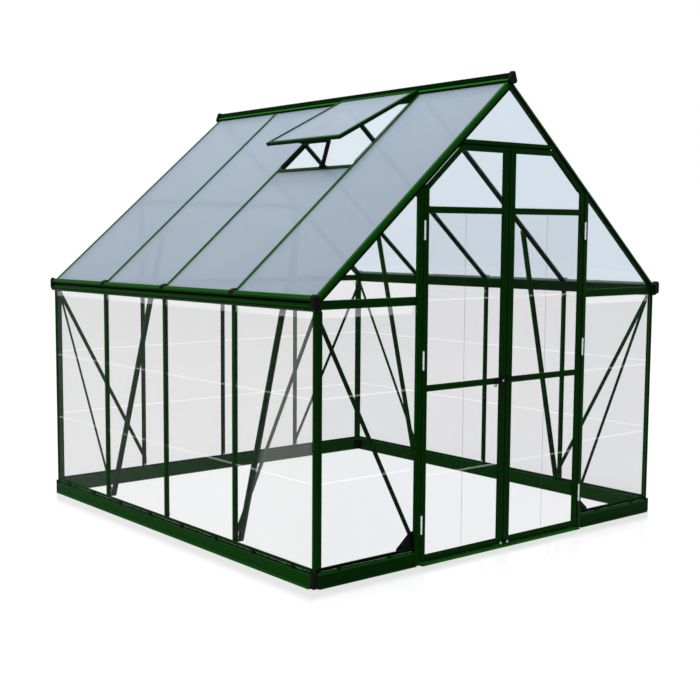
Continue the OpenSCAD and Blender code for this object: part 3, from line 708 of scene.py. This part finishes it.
class GREENHOUSE_OT_gables(bpy.types.Operator):
    """Gable rafters with a bevelled outer face, tie bars, door posts and header"""

    bl_idname = "greenhouse.gables"
    bl_label = "Gable Frames"

    def execute(self, context):
        edge, wide, deep = size("edge_round"), 27, RAFTER_DEEP
        front = deep - size("seal_width")
        # (a, b): a from the rafter's inner side out of the gable, b square out of the slope
        bar = [(0, 0), (0, -deep), (wide - 4, -deep), (wide - 4, -front), (wide, -front), (wide, -14),
               (wide - 10, 0)]
        # The black rubber seal along the lower front of each gable rafter is partly painted shade: it stands
        # for the shade in the recess under the rafter as well as for the seal.
        gasket = rectangle(wide - 4, wide - 1, -deep, -front)
        inner = (GABLE_Y - wide) * Y
        start, foot = on_slope(RIDGE_X) + inner, on_slope(FOOT_X) + inner
        ends = {"cut_start": (RIDGE_X * X, X), "cut_end": ((FOOT_X - 3) * X, X)}
        for end in ("front", "back"):
            for profile, name, finish, look in (
                (bar, "profiles", "frame", {"bevel": edge, "replaces": end + "_gable_rafters"}),
                (gasket, "seals", "rubber", {}),
            ):
                shapes = Shapes().prism(profile, start, foot, Y, OUT, **ends).both_sides()
                if end == "front":
                    shapes.flip(1)
                shapes.make(f"{end}_gable_rafter_{name}", finish, **look)
        self.front_members(edge, size("door_bevel"))
        self.tie_bars(edge)
        return {"FINISHED"}

    def front_members(self, edge, bevel):
        """Door posts and header, which stand proud of the wall, and the brush behind the header."""
        deep, w, tall = DOOR_POST_BACK - DOOR_Y, DOOR_POST_OUT - POST_IN, HEADER_Z1 - HEADER_Z0
        flange = [(0, 0), (w - 9, 0), (w - 6, 1.5), (w - 6, 4), (w - 18, 5), (w - 18, deep), (0, deep)]
        foot = vec(POST_IN, DOOR_Y, 0)
        posts = Shapes().prism(flange, foot, foot + Z, X, Y, cut_end=UNDERSIDE).both_sides()
        posts.make("door_post_profiles", "frame", bevel=edge, replaces="door_posts")
        profile = [(bevel, 0), (tall - bevel, 0), (tall, bevel), (tall, deep), (0, deep), (0, bevel)]
        middle = vec(0, DOOR_Y, HEADER_Z0)
        left_underside = (UNDERSIDE[0], UNDERSIDE[1] * (-1, 1, 1))
        header = Shapes().prism(profile, middle - X, middle + X, Z, Y, left_underside, UNDERSIDE)
        header.make("door_header_profile", "frame", bevel=edge, replaces="door_header")
        reach = (UNDER_PEAK - HEADER_Z0) / SLOPE - 6
        low, high = HEADER_Z0 - 12, HEADER_Z0 + 2
        brush = Shapes().block((-reach, LEAF_Y1 + 1.5, low), (reach, DOOR_POST_BACK, high))
        brush.make("door_head_seal", "rubber")

    def tie_bars(self, edge):
        """Tie bars that lie flush with the gable walls, between the posts and studs."""
        tall = TIE_Z1 - TIE_Z0
        profile = [(0, 0), (9, 0), (10, 1.2), (12, 1.2), (13, 0), (tall - 11, 0), (tall - 8, -1.5),
                   (tall - 3, -1.5), (tall, 0), (tall, 20), (0, 20)]
        front, back = Shapes(), Shapes()
        for shapes, x0, x1 in (
            (front, DOOR_POST_OUT - 10, BEAM_IN), (front, -BEAM_IN, 10 - DOOR_POST_OUT),
            (back, BAY_X + STUD_HALF, BEAM_IN), (back, -BEAM_IN, -BAY_X - STUD_HALF),
            (back, STUD_HALF - BAY_X, BAY_X - STUD_HALF),
        ):
            shapes.prism(profile, vec(x0, -WALL_Y, TIE_Z0), vec(x1, -WALL_Y, TIE_Z0), Z, Y)
        front.make("front_tie_bar_profiles", "frame", bevel=edge, replaces="front_tie_bars")
        # Painted shade: the back tie bars are coated darkened to 0.65.
        back.flip(1).make("back_tie_bar_profiles", "base", bevel=edge, replaces="back_tie_bars")


class GREENHOUSE_OT_braces(bpy.types.Operator):
    """Diagonal braces pressed with a ridge along the middle"""

    bl_idname = "greenhouse.braces"
    bl_label = "Braces"

    def execute(self, context):
        for node, foot, corner, out, along in (
            ("side_wall_braces", BAY_Y - BRACE_SET_IN, CORNER_Y, X, Y),
            ("back_wall_braces", BAY_X - BRACE_SET_IN, CORNER_X, Y, X),
            ("front_wall_braces", DOOR_POST_OUT - 17, CORNER_X, Y, X),
        ):
            low, high = box(node)
            face = -low[1] if node == "front_wall_braces" else high @ out
            braces = self.brace(foot, corner, face, out, along).both_sides()
            if node == "side_wall_braces":
                braces.both_ends()
            elif node == "front_wall_braces":
                braces.flip(1)
            braces.make(node + "_pressed", "frame", bevel=0.4, replaces=node)
        return {"FINISHED"}

    def brace(self, u0, u1, face, out, along):
        """A bar from the eave at u1 down to the foot of the upright at u0, its ridge outwards."""
        foot = u0 * along + face * out + BRACE_FOOT_Z * Z
        head = u1 * along + face * out + (EAVE - 10) * Z
        run = (head - foot) / np.linalg.norm(head - foot)
        profile = halved([(11.5, -1.2), (11.5, 0), (3.5, 0.4), (2, 2.6)])
        return Shapes().prism(profile, foot, head, np.cross(run, out), out, (foot, along), (head, along))


class GREENHOUSE_OT_doors(bpy.types.Operator):
    """Door leaves: bevelled and grooved members, seals round the panes, and panes with white laps"""

    bl_idname = "greenhouse.doors"
    bl_label = "Door Leaves"

    def execute(self, context):
        self.members(size("edge_round"), size("door_bevel"))
        self.panes(size("lap_height") / 2)
        return {"FINISHED"}

    def profile(self, w, bevel, inset_low, inset_high=0):
        """Member of a leaf: a front flange of full width that covers the pane's edge, with the web
        behind it set in on the pane's side, and a shallow groove along the middle where the
        member is wide. (a, b): a across, b from the front backwards."""
        flange, deep = 4, LEAF_Y1 - LEAF_Y0
        edge = min(bevel, flange - 1)
        groove = [(w / 2 + a, b) for a, b in ((-3, 0), (-1.5, 2), (1.5, 2), (3, 0))] if w > 30 else []
        return [(edge, 0), *groove, (w - edge, 0), (w, edge), (w, flange), (w - inset_high, flange),
                (w - inset_high, deep), (inset_low, deep), (inset_low, flange), (0, flange), (0, edge)]

    def members(self, edge, bevel):
        """Two stiles, three level rails and a mitred top one, and a rail along the roof's slope."""
        stiles, rails, slope_rail = Shapes(), Shapes(), Shapes()
        glazing, stile_inset = 9, 16
        outer = self.profile(LEAF_X1 - STILE_IN, bevel, stile_inset)
        stiles.prism(outer, vec(STILE_IN, LEAF_Y0, LEAF_Z0), vec(STILE_IN, LEAF_Y0, 1), X, Y,
                     cut_end=(LEAF_PEAK * Z, UNDERSIDE[1]))
        meeting = self.profile(MEET_IN - LEAF_X0, bevel, 0, stile_inset)
        stiles.prism(meeting, vec(LEAF_X0, LEAF_Y0, LEAF_Z0), vec(LEAF_X0, LEAF_Y0, LEAF_TOP), X, Y)
        for low, inset in ((LEAF_Z0, 0), (LATCH_Z - RAIL_H / 2, glazing), (UPPER_Z - RAIL_H / 2, glazing)):
            rails.prism(self.profile(RAIL_H, bevel, inset, glazing),
                        vec(MEET_IN, LEAF_Y0, low), vec(STILE_IN, LEAF_Y0, low), Z, Y)
        corner_out = (LEAF_PEAK - LEAF_TOP) / SLOPE
        corner = vec(CORNER_IN, LEAF_Y0, TOP_RAIL_Z0)
        mitre = (vec(corner_out, 0, LEAF_TOP), vec(LEAF_TOP - TOP_RAIL_Z0, 0, CORNER_IN - corner_out))
        rails.prism(self.profile(LEAF_TOP - TOP_RAIL_Z0, bevel, glazing),
                    vec(MEET_IN, LEAF_Y0, TOP_RAIL_Z0), corner, Z, Y, cut_end=mitre)
        slope_rail.prism(self.profile(SLOPE_RAIL_W, bevel, glazing, glazing), corner, corner + DOWN, OUT, Y,
                         mitre, (STILE_IN * X, X))
        for shapes, part in ((stiles, "stiles"), (rails, "rails"), (slope_rail, "slope_rail")):
            shapes.make_pair(f"_door_{part}_profiles", "door", f"_door_{part}", bevel=edge)

    def panes(self, half):
        """A black seal holds each pane behind the members' flanges, and a black brush runs under the leaf,
        which also stands for the shade in the gap above the sill (painted shade). White laps run across the
        two lower panes, and a fine grey joint runs up behind them."""
        seals, lower_panes, laps, upper_pane = Shapes(), Shapes(), Shapes(), Shapes()
        seal, tucked, half_rail, pane_back = 3, 5, RAIL_H / 2, LEAF_PANE_Y + 4
        heights = ((LEAF_Z0 + RAIL_H, LATCH_Z - half_rail), (LATCH_Z + half_rail, UPPER_Z - half_rail))
        upper = np.array([(MEET_IN, UPPER_Z + half_rail), (STILE_IN, UPPER_Z + half_rail),
                          (STILE_IN, LEAF_INNER_PEAK - SLOPE * STILE_IN), (CORNER_IN, TOP_RAIL_Z0),
                          (MEET_IN, TOP_RAIL_Z0)])
        for outline in (*(np.array(rectangle(MEET_IN, STILE_IN, low, high)) for low, high in heights), upper):
            reach = outline - outline.mean(0)
            grown = outline + reach * tucked / np.abs(reach).max(0)
            seals.pane_frame(grown, seal, LEAF_Y0 + 4, LEAF_PANE_Y)
        # Brush under the leaf: a black strip, partly painted shade for the gap above the sill.
        seals.block((LEAF_X0 + 1, LEAF_Y0 - 0.6, LEAF_Z0), (LEAF_X1 - 1, LEAF_Y0, LEAF_Z0 + 5))
        for lap_z, (low, high) in zip(DOOR_LAP_ZS, heights):
            below, above = lap_z - half, lap_z + half
            for rows, z0, z1 in ((lower_panes, low, below), (laps, below, above), (lower_panes, above, high)):
                rows.block((MEET_IN, LEAF_PANE_Y, z0), (STILE_IN, pane_back, z1))
        for side, x in PANE_JOINT_X.items():
            joints = Shapes()
            for low, high in heights:
                joints.block((x - 0.5, pane_back + 0.3, low + seal), (x + 0.5, pane_back + 1, high - seal))
            joints.make(side + "_door_pane_joints", "joint", side + "_door")
        upper_pane.plate(upper, LEAF_PANE_Y, pane_back).make_pair("_door_upper_pane", "gable")
        seals.make_pair("_door_pane_seals", "rubber")
        lower_panes.make_pair("_door_lower_panes", "pane", "_door_sheets")
        laps.make_pair("_door_pane_laps", "lap")


class GREENHOUSE_OT_sheets(bpy.types.Operator):
    """Clear wall sheets with their white laps and doubled top band, and the twin-wall roof sheets"""

    bl_idname = "greenhouse.sheets"
    bl_label = "Sheets"

    def execute(self, context):
        for node in GABLE_NODES:
            paint(node, "gable")
        for node in ROOF_NODES:
            paint(node, "twin")
        lap, band = size("lap_height") / 2, EAVE - size("band_height")
        side = [(STUD_HALF, BAY_Y - STUD_HALF), (BAY_Y + STUD_HALF, CORNER_Y)]
        back = [(STUD_HALF, BAY_X - STUD_HALF), (BAY_X + STUD_HALF, CORNER_X)]
        front = [(DOOR_POST_OUT - 14, CORNER_X)]
        laps, far_laps, bands = Shapes(), Shapes(), Shapes()
        # The left wall's sheets carry a painted reflection: a white glossy haze beyond a line that leans as
        # the struts do.
        for wall, spans, top, finish, wall_laps in (
            ("left", side, EAVE, "reflection_patch", laps), ("right", side, EAVE, "clear", far_laps),
            ("front", front, TIE_Z0, "front", laps), ("back", back, TIE_Z0, "clear", far_laps),
        ):
            rows = Shapes()
            for u0, u1 in [*spans, *[(-b, -a) for a, b in spans]]:
                low = BASE_TOP
                for z in LAP_ZS[wall]:
                    rows.wall_bar(wall, u0, u1, low, z - lap, *SHEET_FACES)
                    wall_laps.wall_bar(wall, u0, u1, z - lap, z + lap, *SHEET_FACES)
                    low = z + lap
                rows.wall_bar(wall, u0, u1, low, band, *SHEET_FACES)
                bands.wall_bar(wall, u0, u1, band, top, *SHEET_FACES)
            rows.make(wall + "_wall_sheet_rows", finish, replaces=wall + "_wall_sheets")
        laps.make("sheet_laps", "lap")
        far_laps.make("far_sheet_laps", "far_lap")
        bands.make("sheet_top_bands", "band")
        return {"FINISHED"}


class GREENHOUSE_OT_base(bpy.types.Operator):
    """Base rails with a foot lip and a sloping shoulder, their seal, sheet lip, top strip and clips"""

    bl_idname = "greenhouse.base"
    bl_label = "Base"

    def execute(self, context):
        sides, fronts, backs, lips, seals, strips, black_strips, clips, edges = (Shapes() for _ in range(9))
        post = DOOR_POST_OUT - 10
        for wall, rails, reach, bay in (
            ("left", sides, BASE_Y, BAY_Y), ("right", sides, BASE_Y, BAY_Y),
            ("front", fronts, BASE_X, BAY_X), ("back", backs, BASE_X, BAY_X),
        ):
            front, end = wall == "front", reach - CORNER_W
            shoulder = [(8, 58), (3, 66), (0, 68)] if front else [(8, 57), (3, 61), (0, 63)]
            rail = [(-23, 0), (22, 0), (22, 1.5), (10, 7), (8, 9), (8, 12), *shoulder, (0, 75), (-23, 75)]
            centres = (np.arange(8) - 3.5) * size("clip_pitch") * bay / BAY_Y
            for u0, u1 in [(-end, -post), (post, end)] if front else [(-end, end)]:
                rails.wall_prism(wall, rail, u0, u1)
                strips.wall_bar(wall, u0, u1, 84 if front else 75, 88, -3, 1.5)
                if front:
                    # A thin strip of painted highlight along the shoulder of the front rails.
                    edges.wall_prism(wall, [(8.6, 58.6), (3.6, 66.6), (2.5, 66), (7.5, 58)], u0, u1)
                    black_strips.wall_bar(wall, u0, u1, 68, 84, -3, 1.5)
                else:
                    seals.wall_bar(wall, u0, u1, 63, 71, 0, 1)
                cuts = [u0, *[c for c in centres if u0 < c < u1], u1]
                for a, b in zip(cuts[:-1], cuts[1:]):
                    lips.wall_bar(wall, a + 14, b - 14, 70.5, 73.5, 0, 2.5)
                for c in cuts[1:-1]:
                    clips.wall_bar(wall, c - 11, c + 11, 62, 80, 0, 6)
        edge = size("edge_round")
        sides.make("base_side_rail_profiles", "frame", bevel=edge, replaces="base_side_rails")
        # Painted shade: the front and back rails are coated darkened to 0.65; painted light: the back rail's
        # faces that look into the house are coated lightened 1.45.
        fronts.make("base_front_rails_profiles", "base", bevel=edge, replaces="base_front_rails")
        back = backs.make("base_back_rail_profiles", "base", bevel=edge, replaces="base_back_rail")
        tone_faces(back, -Y, 0.9, "inner")
        seals.make("base_top_seal", "rubber")
        black_strips.make("base_front_top_strips", "rubber")
        # Painted shade on the top strips, darkened to 0.65, and painted highlight on the thin strips along
        # the front rails' shoulder, lightened 2.1.
        strips.make("base_top_strips", "base", bevel=0.5)
        edges.make("base_front_highlight_strips", "sill")
        lips.make("sheet_bottom_lips", "lip")
        clips.make("sheet_clips", "nylon", bevel=0.6)
        inside = Shapes()
        for x, y in ((45, 4), (4, 45)):
            inside.block((CORNER_X - x, CORNER_Y - y, 4), (CORNER_X, CORNER_Y, 66))
        inside.both_sides().both_ends().make("base_corner_insides", "nylon", bevel=1)
        lip = [(-17, 0), (36, 0), (36, 3), (33, 4), (15, 9.5), (-17, 10)]
        sill = Shapes().wall_prism("front", lip, -POST_IN, POST_IN)
        # Painted light: the door sill is coated lightened 2.1 times.
        sill.make("door_sill_strip", "sill", bevel=0.5, replaces="door_threshold")
        return {"FINISHED"}


class GREENHOUSE_OT_eaves(bpy.types.Operator):
    """Gutters with a sloping lip, a groove darkened by a black strip of painted shade and a sloping face,
    their end caps and rafter feet
    """

    bl_idname = "greenhouse.eaves"
    bl_label = "Eaves"

    def execute(self, context):
        edge = size("edge_round")
        # (outward of the wall, height)
        gutter = [(-27, 1204), (2, 1204), (9, 1206), (15, 1211), (17, 1217), (15, 1218), (15, 1221),
                  (17.5, 1222), (11, 1239), (3, 1242), (3, 1248), (10, 1249), (18, 1252), (18, 1260),
                  (10, 1270), (8, 1273), (0, 1275), (-5, 1268), (-12, 1261), (-27, 1261)]
        cap = [(-14, 1216), (-14, 1262), (-2, 1270), (8, 1280), (16, 1275), (21, 1267), (21, 1224),
               (15, 1215), (5, 1212)]
        foot = [(-14, 1264), (-14, 1284), (5, 1281), (20, 1270), (20, 1255), (4, 1252)]
        seals, caps, feet = Shapes(), Shapes(), Shapes()
        for side in ("left", "right"):
            body = Shapes().wall_prism(side, gutter, -GABLE_Y, GABLE_Y).make(
                side + "_gutter_profile", "frame", bevel=edge, replaces=side + "_gutter"
            )
            # Painted shade: the faces that look into the house and the flat top faces are coated darkened to
            # 0.4.
            tone_faces(body, -WALLS[side][1], 0.3, "shaded")
            tone_faces(body, Z, 0.99, "shaded")
            # Painted shade: black strips fill the groove and the notch below it.
            seals.wall_bar(side, -GABLE_Y, GABLE_Y, 1241, 1248.5, 2, 5)
            seals.wall_bar(side, -GABLE_Y, GABLE_Y, 1218, 1221, 14, 16)
            for y0, y1 in ((-GABLE_Y - 12, -GABLE_Y + 20), (GABLE_Y - 20, GABLE_Y)):
                caps.wall_prism(side, cap, y0, y1)
            for y in (-BAY_Y, 0, BAY_Y):
                feet.wall_prism(side, foot, y - 14, y + 14)
        seals.make("gutter_joints", "rubber")
        caps.make("gutter_cap_sleeves", "nylon", bevel=2, replaces="gutter_end_caps")
        feet.make("rafter_foot_sockets", "nylon", bevel=2, replaces="rafter_foot_caps")
        self.ridge(edge)
        return {"FINISHED"}

    def ridge(self, edge):
        """Ridge beam, coated in painted shade, with a sloping flange edged by strips of painted highlight, a
        groove darkened by a black strip of painted shade, an overhanging cap rail and a seal where the roof
        sheets meet it; end caps.
        """
        z, bottom, reach = on_slope(17)[2], box("ridge_beam")[0][2], GABLE_Y - 2
        beam, flange_highlights, seals, caps = Shapes(), Shapes(), Shapes(), Shapes()
        beam.plate(
            halved([(10, bottom), (15, bottom + 5), (15, z + 2), (17, z + 5), (17, z + 10), (12, z + 18),
                    (9, z + 19), (9, z + 22), (10, z + 23), (15, z + 43)]), -reach, reach,
        )
        # Painted highlight: thin strips along the flange's sloping face, coated lightened 2.1 times.
        flange_highlights.plate([(17.6, z + 9.5), (12.6, z + 18), (11.5, z + 18), (16.5, z + 9.5)], -reach, reach)
        # Black strips: the upper one fills the groove as painted shade; the lower one is the seal where the
        # roof sheets meet the beam.
        for a0, a1, z0, z1 in ((8, 10.5, z + 18.5, z + 22.5), (14.5, 17.5, z + 1, z + 5)):
            seals.plate(rectangle(a0, a1, z0, z1), -reach, reach)
        cap = halved([(5, bottom + 29), (22, z - 3), (25, z + 8), (11, z + 48), (8, z + 51)])
        caps.plate(cap, GABLE_Y - 8, GABLE_Y + 12).both_ends()
        # Painted shade: the beam is coated darkened to 0.4.
        beam.make("ridge_beam_profile", "shaded", bevel=edge, replaces="ridge_beam")
        flange_highlights.both_sides().make("ridge_flange_highlight_strips", "sill")
        seals.both_sides().make("ridge_seal_and_groove_shade", "rubber")
        caps.make("ridge_cap_plates", "nylon", bevel=2, replaces="ridge_end_caps")


class GREENHOUSE_OT_vent_stay(bpy.types.Operator):
    """Bent stay that holds the vent open: a foot on the sill, an arm, and a bar under the vent"""

    bl_idname = "greenhouse.vent_stay"
    bl_label = "Vent Stay"

    def execute(self, context):
        arm, shoe = Shapes(), Shapes()
        sill_x = sum(box("vent_sill"))[0] / 2
        foot = vec(sill_x, -370, ROOF_PEAK + SLOPE * sill_x + 2)
        elbow = vec(-533, -506, 1997)
        head = elbow + 215 * Y
        run = (elbow - foot) / np.linalg.norm(elbow - foot)
        out = Y - (Y @ run) * run
        out /= np.linalg.norm(out)
        arm.bar(foot, elbow + 4 * run, 20, 12, out, np.cross(run, out))
        arm.bar(elbow - 9 * Y, head, 12, 12, Z, X)
        arm.make("vent_stay_bars", "nylon", bevel=1.5, replaces="vent_stay_arms")
        slope, normal = DOWN * (1, 1, -1), OUT * (-1, 1, 1)
        base = foot - 4 * Z
        for middle, half, wide, thick, across, square in (
            (base, 26, 20, 10, slope, normal),
            (base + 6 * normal, 14, 16, 14, slope, normal),
            (head + 4 * Z, 12, 20, 8, X, Z),
        ):
            shoe.bar(middle - half * Y, middle + half * Y, wide, thick, across, square)
        shoe.make("vent_stay_shoes", "nylon", bevel=1.5, replaces="vent_stay_plates")
        return {"FINISHED"}


class GREENHOUSE_OT_fasteners(bpy.types.Operator):
    """Bolts and nuts at the frame's joints"""

    bl_idname = "greenhouse.fasteners"
    bl_label = "Fasteners"

    def execute(self, context):
        bolts = Shapes()
        inner_x, inner_y = WALL_X - 20, WALL_Y - 20
        foot_z = BASE_TOP + 22
        for y in (-BAY_Y, 0, BAY_Y):
            for z in (foot_z, EAVE - 25):
                bolts.hex_bolt(vec(inner_x, y, z), -X)
        for y in (BAY_Y - BRACE_SET_IN, BRACE_SET_IN - BAY_Y):
            bolts.hex_bolt(vec(inner_x - 3, y, BRACE_FOOT_Z + 2), -X)
        # Three through each gusset plate of the door posts, (out of the post, above the base).
        for x, z in ((-17, 62), (22, 16), (62, 8)):
            bolts.hex_bolt(vec(DOOR_POST_OUT + x, DOOR_POST_BACK + 3, BASE_TOP + z), Y)
        bolts.both_sides()
        for x in (-BAY_X, 0, BAY_X):
            for z in (foot_z, TIE_Z0 - 25):
                bolts.hex_bolt(vec(x, inner_y, z), -Y)
        bolts.make("frame_bolts", "zinc")
        return {"FINISHED"}


class GREENHOUSE_OT_door_fittings(bpy.types.Operator):
    """Hinges with bright barrels, the latch with its pivot and ring, and the feet of the drop bolts"""

    bl_idname = "greenhouse.door_fittings"
    bl_label = "Door Fittings"

    def execute(self, context):
        self.hinges()
        self.latch()
        self.bolt_feet()
        return {"FINISHED"}

    def hinges(self):
        """Knuckles of 22, 42 and 22 mm on a common axis, with painted plates screwed to the frame."""
        frame_barrels, frame_plates, barrels, plates = (Shapes() for _ in range(4))
        for z in HINGE_ZS:
            for shapes, low, high in ((frame_barrels, -44, -22), (frame_barrels, 22, 44), (barrels, -21, 21)):
                shapes.turned([(5, 0), (5, high - low)], vec(HINGE_X, HINGE_Y, z + low), Z, 20)
            self.hinge_plate(frame_plates, HINGE_X + 11, z, 44)
            self.hinge_plate(plates, HINGE_X - 11, z, 21)
        for shapes in (frame_barrels, frame_plates):
            shapes.both_sides()
        frame_barrels.make("door_frame_hinge_barrels", "mill", replaces="door_frame_hinges", bevel=0.5)
        frame_plates.make("door_frame_hinge_plates", "frame", bevel=0.5)
        barrels.make_pair("_door_hinge_barrels", "mill", "_door_hinges", bevel=0.5)
        plates.make_pair("_door_hinge_plates", "door", bevel=0.5)

    def hinge_plate(self, shapes, x, z, half):
        """A plate 20 mm wide on the face of a post or stile, with a low domed screw at either end."""
        face = LEAF_Y0 - 2.5
        shapes.block((x - 10, face, z - half), (x + 10, LEAF_Y0, z + half))
        for screw_z in (z - half + 9, z + half - 9):
            shapes.turned([(3, 0), (2.7, 0.8), (1.5, 1.6)], vec(x, face, screw_z), -Y, 10)

    def latch(self):
        """A moulded keeper body on the left leaf, and a lever that tapers away on the right leaf."""
        keeper, lever, pivot, ring = Shapes(), Shapes(), Shapes(), Shapes()
        z, face = LATCH_Z, LEAF_Y0 - 7
        keeper.plate([(64, z - 13), (72, z - 5), (72, z + 7), (60, z + 12), (46, z + 23), (24, z + 24),
                      (6, z + 16), (4, z), (11, z - 19), (26, z - 27), (46, z - 27)], face, LEAF_Y0)
        hub = vec(33, face, LATCH_Z)
        keeper.turned([(15, 0), (15, 2), (12, 4)], hub, -Y, 24)
        keeper.make("latch_keeper", "nylon", "left_door", bevel=1.2, replaces="left_door_keeper")
        pivot.turned([(6, 3), (6, 5), (4, 7), (2, 8)], hub, -Y, 20)
        pivot.make("latch_pivot", "zinc", "left_door", smooth=True)
        lever.plate([(4, z - 8), (4, z + 13), (28, z + 15), (60, z + 12), (106, z + 7), (109, z + 3),
                     (60, z - 1), (30, z - 6)], LEAF_Y0 - 8, LEAF_Y0)
        lever.make("latch_lever", "nylon", "right_door", bevel=1.5, replaces="right_door_latch")
        ring.loop(vec(77, LEAF_Y0 - 3, LATCH_Z - RAIL_H / 2 - 4), 7, 2.2)
        ring.make("latch_ring", "nylon", "left_door", smooth=True)

    def bolt_feet(self):
        """Black guides at the feet of the meeting stiles, each with a bright button."""
        x, y = LEAF_X0 + 21, LEAF_Y0 - 4
        guide = Shapes().block((x - 14, y, LEAF_Z0), (x + 12, LEAF_Y0, 30))
        guide.make_pair("_bolt_guide", "nylon", bevel=1)
        button = Shapes().turned([(8.5, 0), (8.5, 4), (6, 6)], vec(x, y, LEAF_Z0 + 3), -Y, 20)
        button.make_pair("_bolt_button", "zinc", smooth=True)


class GREENHOUSE_OT_stage(bpy.types.Operator):
    """Pale floor, soft studio lamps, white surround and the camera"""

    bl_idname = "greenhouse.stage"
    bl_label = "Studio"

    def execute(self, context):
        self.floor()
        self.lamps()
        self.surround()
        self.camera()
        return {"FINISHED"}

    def floor(self):
        mesh = bpy.data.meshes.new("floor")
        reach = 40.0
        corners = [(x, y, 0) for x, y in rectangle(-reach, reach, -reach, reach)]
        mesh.from_pydata(corners, [], [(0, 1, 2, 3)])
        floor = bpy.data.objects.new("floor", mesh)
        bpy.context.scene.collection.objects.link(floor)
        floor.location.z = -0.5 * MM
        mat, add, place = blank("studio_floor")
        mesh.materials.append(mat)
        # The painted floor runs out into the white surround from 2.5 m to 7 m off the middle.
        away = add("VectorMath", {0: place}, operation="LENGTH")
        away = add("MapRange", {"Value": away, "From Min": 2.5, "From Max": 7.0})
        level = add("MapRange", {"Value": away, "To Min": 0.96, "To Max": 1.01})
        lift = add("Math", {0: level, 1: seen_directly(add)}, operation="MULTIPLY")
        ground = add("BsdfDiffuse", {"Color": rgba(linear("6E6E6E"))})
        glow = add("Emission", {"Color": WHITE, "Strength": lift})
        lifted = add("AddShader", {0: ground, 1: glow})
        # The sheen is strongest within 0.1 m of the base rails and dies out 0.65 m away from them.
        part = add("SeparateXYZ", {"Vector": place}).outputs
        beyond = []
        for axis, half in (("X", BASE_X), ("Y", BASE_Y)):
            away = add("Math", {0: part[axis]}, operation="ABSOLUTE")
            beyond.append(add("Math", {0: away, 1: half * MM}, operation="SUBTRACT"))
        off = add("Math", dict(enumerate(beyond)), operation="MAXIMUM")
        inside = add("Math", {0: off, 1: -10.0}, operation="MULTIPLY")
        off = add("Math", {0: off, 1: inside}, operation="MAXIMUM")
        bands = []
        for near, far, most in ((0.07, 0.13, 0.17), (0.10, 0.65, 0.09)):
            fade = {"Value": off, "From Min": near, "From Max": far, "To Min": most, "To Max": 0.0}
            bands.append(add("MapRange", fade))
        sheen = add("Math", dict(enumerate(bands)), operation="ADD")
        mirror = add("BsdfGlossy", {"Color": WHITE, "Roughness": 0.09})
        floor_shader = add("MixShader", {0: sheen, 1: lifted, 2: mirror})
        add("OutputMaterial", {"Surface": floor_shader})

    def lamps(self):
        for name, place, wide, power in (
            ("overhead", (-1.4, 0.6, 8.5), 5.0, 640),
            ("left_fill", (-8.0, 0.0, 2.5), 4.0, 10),
            ("front_fill", (-5.5, -7.5, 2.5), 4.0, 9),
        ):
            lamp = bpy.data.lights.new(name, "AREA")
            lamp.size = wide
            lamp.energy = power
            lamp_object = bpy.data.objects.new(name, lamp)
            bpy.context.scene.collection.objects.link(lamp_object)
            lamp_object.location = place
            aim = Vector((0, 0, 1.0)) - Vector(place)
            lamp_object.rotation_euler = aim.to_track_quat("-Z", "Y").to_euler()

    def surround(self):
        world = bpy.data.worlds.new("studio")
        bpy.context.scene.world = world
        add = emptied(world)
        strength = add("MapRange", {"Value": seen_directly(add), "To Min": 0.12})
        sky = add("Background", {"Color": WHITE, "Strength": strength})
        add("OutputWorld", {"Surface": sky})

    def camera(self):
        data = bpy.data.cameras.new("camera")
        data.lens = 59.691
        data.sensor_width = 36.0
        data.shift_x = 0.09614
        data.clip_start, data.clip_end = 0.1, 100.0
        camera = bpy.data.objects.new("camera", data)
        bpy.context.scene.collection.objects.link(camera)
        camera.location = (-4.28884, -5.01628, 1.5275)
        camera.rotation_euler = Euler([math.radians(turn) for turn in (90 - 5.645, -0.071, -37.545)])
        bpy.context.scene.camera = camera


class GREENHOUSE_PT_panel(bpy.types.Panel):
    """Lists the steps that dress the greenhouse"""

    bl_label = "Greenhouse"
    bl_idname = "GREENHOUSE_PT_panel"
    bl_space_type = "VIEW_3D"
    bl_region_type = "UI"
    bl_category = "Greenhouse"

    def draw(self, context):
        for group in (context.scene.greenhouse_sizes, context.scene.greenhouse_finishes):
            column = self.layout.column()
            for key in group.__annotations__:
                column.prop(group, key)
        for step in STEPS:
            self.layout.operator(step.bl_idname)


STEPS = (
    GREENHOUSE_OT_frame,
    GREENHOUSE_OT_gables,
    GREENHOUSE_OT_braces,
    GREENHOUSE_OT_doors,
    GREENHOUSE_OT_sheets,
    GREENHOUSE_OT_base,
    GREENHOUSE_OT_eaves,
    GREENHOUSE_OT_vent_stay,
    GREENHOUSE_OT_fasteners,
    GREENHOUSE_OT_door_fittings,
    GREENHOUSE_OT_stage,
)
CLASSES = (GreenhouseSizes, GreenhouseFinishes, *STEPS, GREENHOUSE_PT_panel)


def register():
    for cls in CLASSES:
        bpy.utils.register_class(cls)
    bpy.types.Scene.greenhouse_sizes = PointerProperty(type=GreenhouseSizes)
    bpy.types.Scene.greenhouse_finishes = PointerProperty(type=GreenhouseFinishes)


def unregister():
    del bpy.types.Scene.greenhouse_finishes
    del bpy.types.Scene.greenhouse_sizes
    for cls in reversed(CLASSES):
        bpy.utils.unregister_class(cls)


def main():
    register()
    bpy.context.scene.view_settings.view_transform = "Standard"
    for step in STEPS:
        group, name = step.bl_idname.split(".")
        getattr(getattr(bpy.ops, group), name)()


if __name__ == "__main__":
    main()
